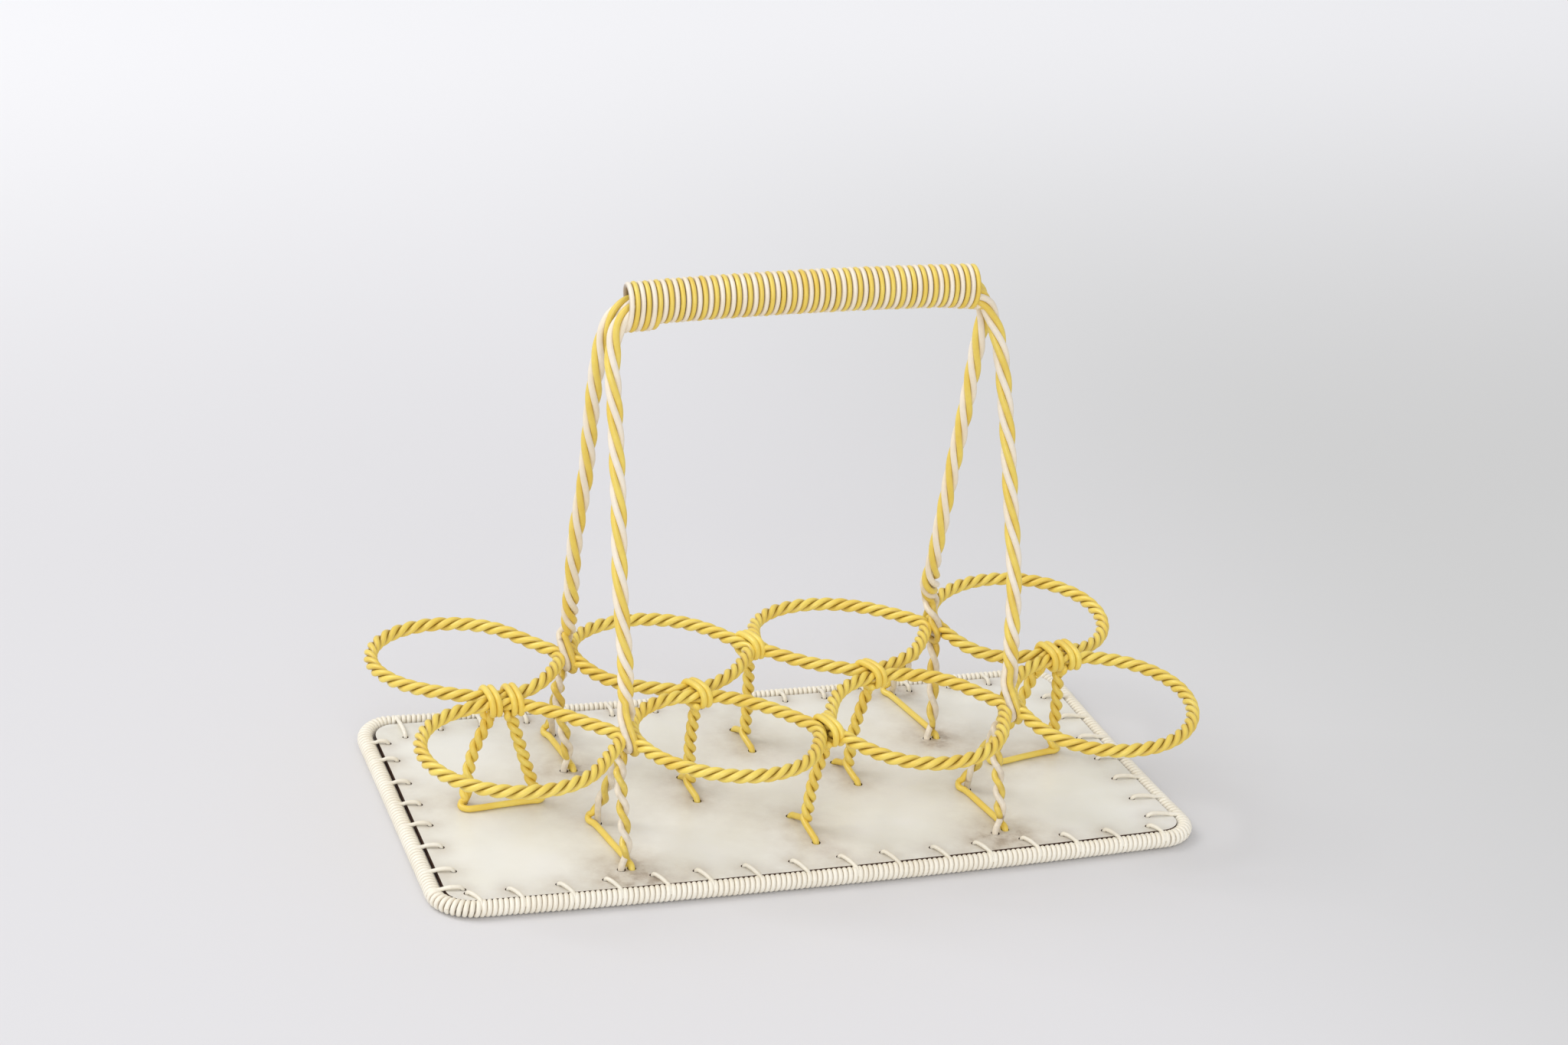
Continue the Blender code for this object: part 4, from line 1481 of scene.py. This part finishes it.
@dataclass
class Board:
    """The base board: hardboard with rounded corners, holes for the lacing and for the legs' wires."""

    half_x: float = 148.85 * MM
    half_y: float = 70.25 * MM
    corner: float = 9.2 * MM
    corner_segments: int = 12
    # How far each corner stands out from the rectangle: front left and right, back left and right
    stand: tuple[Pair, ...] = ((0.9, 2.4), (1.2, 1.3), (0.7, 0.0), (1.0, 1.0))
    cell: float = 1.8 * MM
    margin: float = 4 * MM
    cutter_below: float = 3 * MM
    cutter_height: float = 10 * MM
    drill_length: float = 12 * MM
    drill_sides: int = 16
    lacing_hole: float = 1.25 * MM
    wire_hole: float = 1.75 * MM
    # Soil round the nearest, second and third wire, round the lacing and at the edge: amount, reach and power
    wire_soil: tuple[Triple, ...] = ((0.86, 10 * MM, 1.1), (0.42, 20 * MM, 2), (0.20, 32 * MM, 2))
    lace_soil: Triple = (0.60, 4.5 * MM, 1.3)
    edge_soil: Triple = (0.40, 7 * MM, 1)

    def wire_holes(self) -> list[Vector]:
        """Place the holes that the legs' wires go down.

        Returns:
            The holes.
        """
        aside = Lashings().beside
        places = [spot(hole) for tie in SINGLE_TIES for hole in tie.holes]
        for tie in DOUBLE_TIES:
            places += [spot(tie.foot) + BACK * aside, spot(tie.holes[1]) + (BACK - RIGHT) * aside]
        for junction in JUNCTIONS.values():
            places += [spot(hole) for hole in (*junction.holes, junction.end)]
        return places

    @staticmethod
    def resize(half_x: float, half_y: float) -> None:
        """Stretch the new sheet to its size, in edit mode.

        Args:
            half_x: half of its length.
            half_y: half of its depth.
        """
        bpy.ops.object.mode_set(mode="EDIT")
        bpy.ops.mesh.select_all(action="SELECT")
        bpy.ops.transform.resize(value=(half_x, half_y, 1))

    @staticmethod
    def draw_up(height: float) -> bpy.types.Object:
        """Draw the sheet in edit mode up into a block, and leave edit mode.

        Args:
            height: how far it is drawn up.

        Returns:
            The block, with its place in its mesh.
        """
        bpy.ops.mesh.extrude_region_move(TRANSFORM_OT_translate={"value": (0, 0, height)})
        bpy.ops.mesh.select_all(action="SELECT")
        bpy.ops.mesh.normals_make_consistent(inside=False)
        bpy.ops.object.mode_set(mode="OBJECT")
        bpy.ops.object.transform_apply(location=True, rotation=True, scale=True)
        return bpy.context.view_layer.objects.active

    def blank(self) -> bpy.types.Object:
        """Model the board's blank: a fine grid, drawn up to its thickness.

        Returns:
            The blank, a little too wide.
        """
        bpy.ops.object.select_all(action="DESELECT")
        across, deep = (round(2 * half / self.cell) + 3 for half in (self.half_x, self.half_y))
        bpy.ops.mesh.primitive_grid_add(x_subdivisions=across, y_subdivisions=deep, size=2,
                                        location=(0, 0, BOARD_BOTTOM))
        self.resize(self.half_x + self.margin, self.half_y + self.margin)
        board = self.draw_up(BOARD_TOP - BOARD_BOTTOM)
        board.name = "painted_board"
        return board

    def outline(self) -> bpy.types.Object:
        """Model the board's outline as a cutter: a sheet whose corners are rounded, drawn up into a block.

        Returns:
            The cutter.
        """
        bpy.ops.object.select_all(action="DESELECT")
        bpy.ops.mesh.primitive_plane_add(size=2, location=(0, 0, BOARD_BOTTOM - self.cutter_below))
        self.resize(self.half_x, self.half_y)
        bpy.ops.object.mode_set(mode="OBJECT")
        for vertex, (out_x, out_y) in zip(bpy.context.view_layer.objects.active.data.vertices, self.stand):
            vertex.co.x += math.copysign(out_x * MM, vertex.co.x)
            vertex.co.y += math.copysign(out_y * MM, vertex.co.y)
        bpy.ops.object.mode_set(mode="EDIT")
        bpy.ops.mesh.select_all(action="SELECT")
        bpy.ops.mesh.bevel(offset=self.corner, segments=self.corner_segments, affect="VERTICES")
        bpy.ops.mesh.select_all(action="SELECT")
        return self.draw_up(self.cutter_height)

    def drills(self, places: list[Vector], radius: float) -> bpy.types.Object:
        """Model one drill for each hole and join them into one cutter.

        Args:
            places: the holes.
            radius: their radius.

        Returns:
            The cutter.
        """
        bpy.ops.object.select_all(action="DESELECT")
        made = []
        middle = (BOARD_TOP + BOARD_BOTTOM) / 2
        for place in places:
            bpy.ops.mesh.primitive_cylinder_add(vertices=self.drill_sides, radius=radius,
                                                depth=self.drill_length, location=(place.x, place.y, middle))
            made.append(bpy.context.view_layer.objects.active)
        for drill in made:
            drill.select_set(True)
        bpy.ops.object.join()
        bpy.ops.object.transform_apply(location=True, rotation=True, scale=True)
        return bpy.context.view_layer.objects.active

    @staticmethod
    def cut(board: bpy.types.Object, tool: bpy.types.Object, operation: str) -> None:
        """Cut the board and remove the cutter.

        Args:
            board: the board.
            tool: the cutter.
            operation: which of the two shapes' parts stay.
        """
        modifier = board.modifiers.new(operation, "BOOLEAN")
        modifier.operation = operation
        modifier.solver = "EXACT"
        modifier.object = tool
        select_only(board)
        bpy.ops.object.modifier_apply(modifier=modifier.name)
        bpy.data.objects.remove(tool, do_unlink=True)

    def soil(self, mesh: bpy.types.Mesh, lacing: list[Vector], wires: list[Vector]) -> None:
        """Write where the board is soiled and where its brown fibre is bare.

        Args:
            mesh: the board's mesh.
            lacing: the lacing holes.
            wires: the wires' holes.
        """
        soil = mesh.attributes.new("soil", "FLOAT", "POINT")
        bare = mesh.attributes.new("bare", "FLOAT", "FACE")
        for index, vertex in enumerate(mesh.vertices):
            here = Vector((*vertex.co.xy, 0))
            near = sorted((here - place).length for place in wires)
            lace = min((here - place).length for place in lacing)
            edge = max(min(self.half_x - abs(here.x), self.half_y - abs(here.y)), 0.0)
            spots = zip((*near[:3], lace, edge), (*self.wire_soil, self.lace_soil, self.edge_soil))
            soil.data[index].value = min(1.0, sum(amount * math.exp(-(away / reach) ** power)
                                                  for away, (amount, reach, power) in spots))
        for index, face in enumerate(mesh.polygons):
            bare.data[index].value = 0.0 if face.normal.z > 0.5 else 1.0

    def build(self, bench: Bench, rim: Rim) -> None:
        """Make the board.

        Args:
            bench: finishes the piece.
            rim: the rim that it is laced to.
        """
        holes = rim.holes()
        lacing = [hole for side in (Side.FRONT, Side.BACK, Side.LEFT, Side.RIGHT) for hole in holes[side]]
        wires = self.wire_holes()
        board = self.blank()
        self.cut(board, self.outline(), "INTERSECT")
        drift = Drift()
        for vertex in board.data.vertices:
            vertex.co = drift.move(vertex.co)
        for places, radius in ((lacing, self.lacing_hole), (wires, self.wire_hole)):
            self.cut(board, self.drills(places, radius), "DIFFERENCE")
        self.soil(board.data, lacing, wires)
        bench.finish(board, PaintedHardboard(), "base_plate")


# The studio
@dataclass(frozen=True)
class Lamp:
    """A soft square lamp that looks at the carrier."""

    name: str
    place: Triple
    size: float
    power: float
    aim: Triple = (0, 0, 0.06)

    def hang(self) -> None:
        """Hang the lamp."""
        data = bpy.data.lights.new(self.name, "AREA")
        data.size = self.size
        data.energy = self.power
        lamp = bpy.data.objects.new(self.name, data)
        bpy.context.scene.collection.objects.link(lamp)
        lamp.location = self.place
        lamp.rotation_mode = "QUATERNION"
        lamp.rotation_quaternion = (Vector(self.place) - Vector(self.aim)).to_track_quat("Z", "Y")


@dataclass
class Studio:
    """The pale table, the soft light and the camera at the photograph's angle."""

    position: Vector = field(default_factory=lambda: Vector((-465.6, -1195.2, 673.6)) * MM)
    azimuth: float = math.radians(21.05)
    elevation: float = math.radians(23.43)
    roll: float = math.radians(4.95)
    focal: float = 82.7
    sensor: float = 36.0
    clip: float = 0.01
    table_size: float = 12
    table_roughness: float = 0.7
    table: str = "#dedddf"
    # The table's other tones, a painted shade to the right and a paler tone far off: each one's colour, and
    # from where to where it grows, to the right and to the back
    table_shade: tuple[str, float, float] = ("#cfcfce", 0.02, 0.42)
    table_far: tuple[str, float, float] = ("#f6f6f8", 0.22, 1.15)
    room: str = "#f6f6f8"
    room_light: float = 0.72
    lamps: tuple[Lamp, ...] = (Lamp("window", (-2.85, 1.35, 3.45), 2.7, 90.0),
                               Lamp("room", (-0.9, -3.1, 1.5), 2.4, 40.0))

    def camera(self) -> None:
        """Place the camera."""
        data = bpy.data.cameras.new("photo_camera")
        data.lens = self.focal
        data.sensor_width = self.sensor
        data.clip_start = self.clip
        camera = bpy.data.objects.new("photo_camera", data)
        bpy.context.scene.collection.objects.link(camera)
        ahead, aside = math.cos(self.azimuth), math.sin(self.azimuth)
        level, down = math.cos(self.elevation), math.sin(self.elevation)
        forward = Vector((aside * level, ahead * level, -down))
        right = Vector((ahead, -aside, 0))
        above = right.cross(forward)
        matrix = camera.matrix_world.to_3x3()
        matrix.col[0] = right * math.cos(self.roll) + above * math.sin(self.roll)
        matrix.col[1] = -right * math.sin(self.roll) + above * math.cos(self.roll)
        matrix.col[2] = -forward
        camera.matrix_world = matrix.to_4x4()
        camera.location = self.position
        bpy.context.scene.camera = camera

    def floor(self) -> None:
        """Lay the painted table: matt and pale, with painted shade at the right and lighter far off."""
        bpy.ops.object.select_all(action="DESELECT")
        bpy.ops.mesh.primitive_plane_add(size=self.table_size, location=(0, 0, 0))
        floor = bpy.context.view_layer.objects.active
        floor.name = "pale_table"
        material = bpy.data.materials.new("painted_table")
        material.use_nodes = True
        tree = material.node_tree
        shader = tree.nodes["Principled BSDF"]
        place = add_node(tree, "TexCoord", {}, "Object")
        colour = self.table
        for axis, (tint, low, high) in (("X", self.table_shade), ("Y", self.table_far)):
            way = add_node(tree, "SeparateXYZ", {0: place}, axis)
            share = add_node(tree, "MapRange", {"Value": way, "From Min": low, "From Max": high},
                             interpolation_type="SMOOTHSTEP")
            colour = add_node(tree, "Mix", {0: share, 6: colour, 7: tint}, 2, data_type="RGBA")
        tree.links.new(colour, shader.inputs["Base Color"])
        shader.inputs["Roughness"].default_value = self.table_roughness
        floor.data.materials.append(material)
        floor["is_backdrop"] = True

    def light(self) -> None:
        """Light the room softly, with a little more from the left and above."""
        world = bpy.data.worlds.new("soft_room")
        bpy.context.scene.world = world
        world.use_nodes = True
        background = world.node_tree.nodes["Background"]
        background.inputs["Color"].default_value = hex_to_linear(self.room)
        background.inputs["Strength"].default_value = self.room_light
        for lamp in self.lamps:
            lamp.hang()

    def build(self) -> None:
        """Set up the whole studio."""
        self.camera()
        self.floor()
        self.light()
        bpy.context.scene.view_settings.view_transform = "Standard"


def corners(box: tuple[Vector, Vector]) -> list[list[float]]:
    """Return a box as plain lists."""
    return [list(box[0]), list(box[1])]


def main() -> None:
    logging.basicConfig(level=logging.INFO, format="%(name)s: %(message)s")
    cad_box = corners(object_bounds())
    bench = Bench()
    rim = Rim()
    Board().build(bench, rim)
    for assembly in (rim, RopeRings(), Lashings(), Hoops(), Grip()):
        assembly.build(bench)
    Studio().build()
    LOG.info("%d pieces", bench.count)
    {"cad": cad_box, "visual": corners(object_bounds())}


if __name__ == "__main__":
    main()
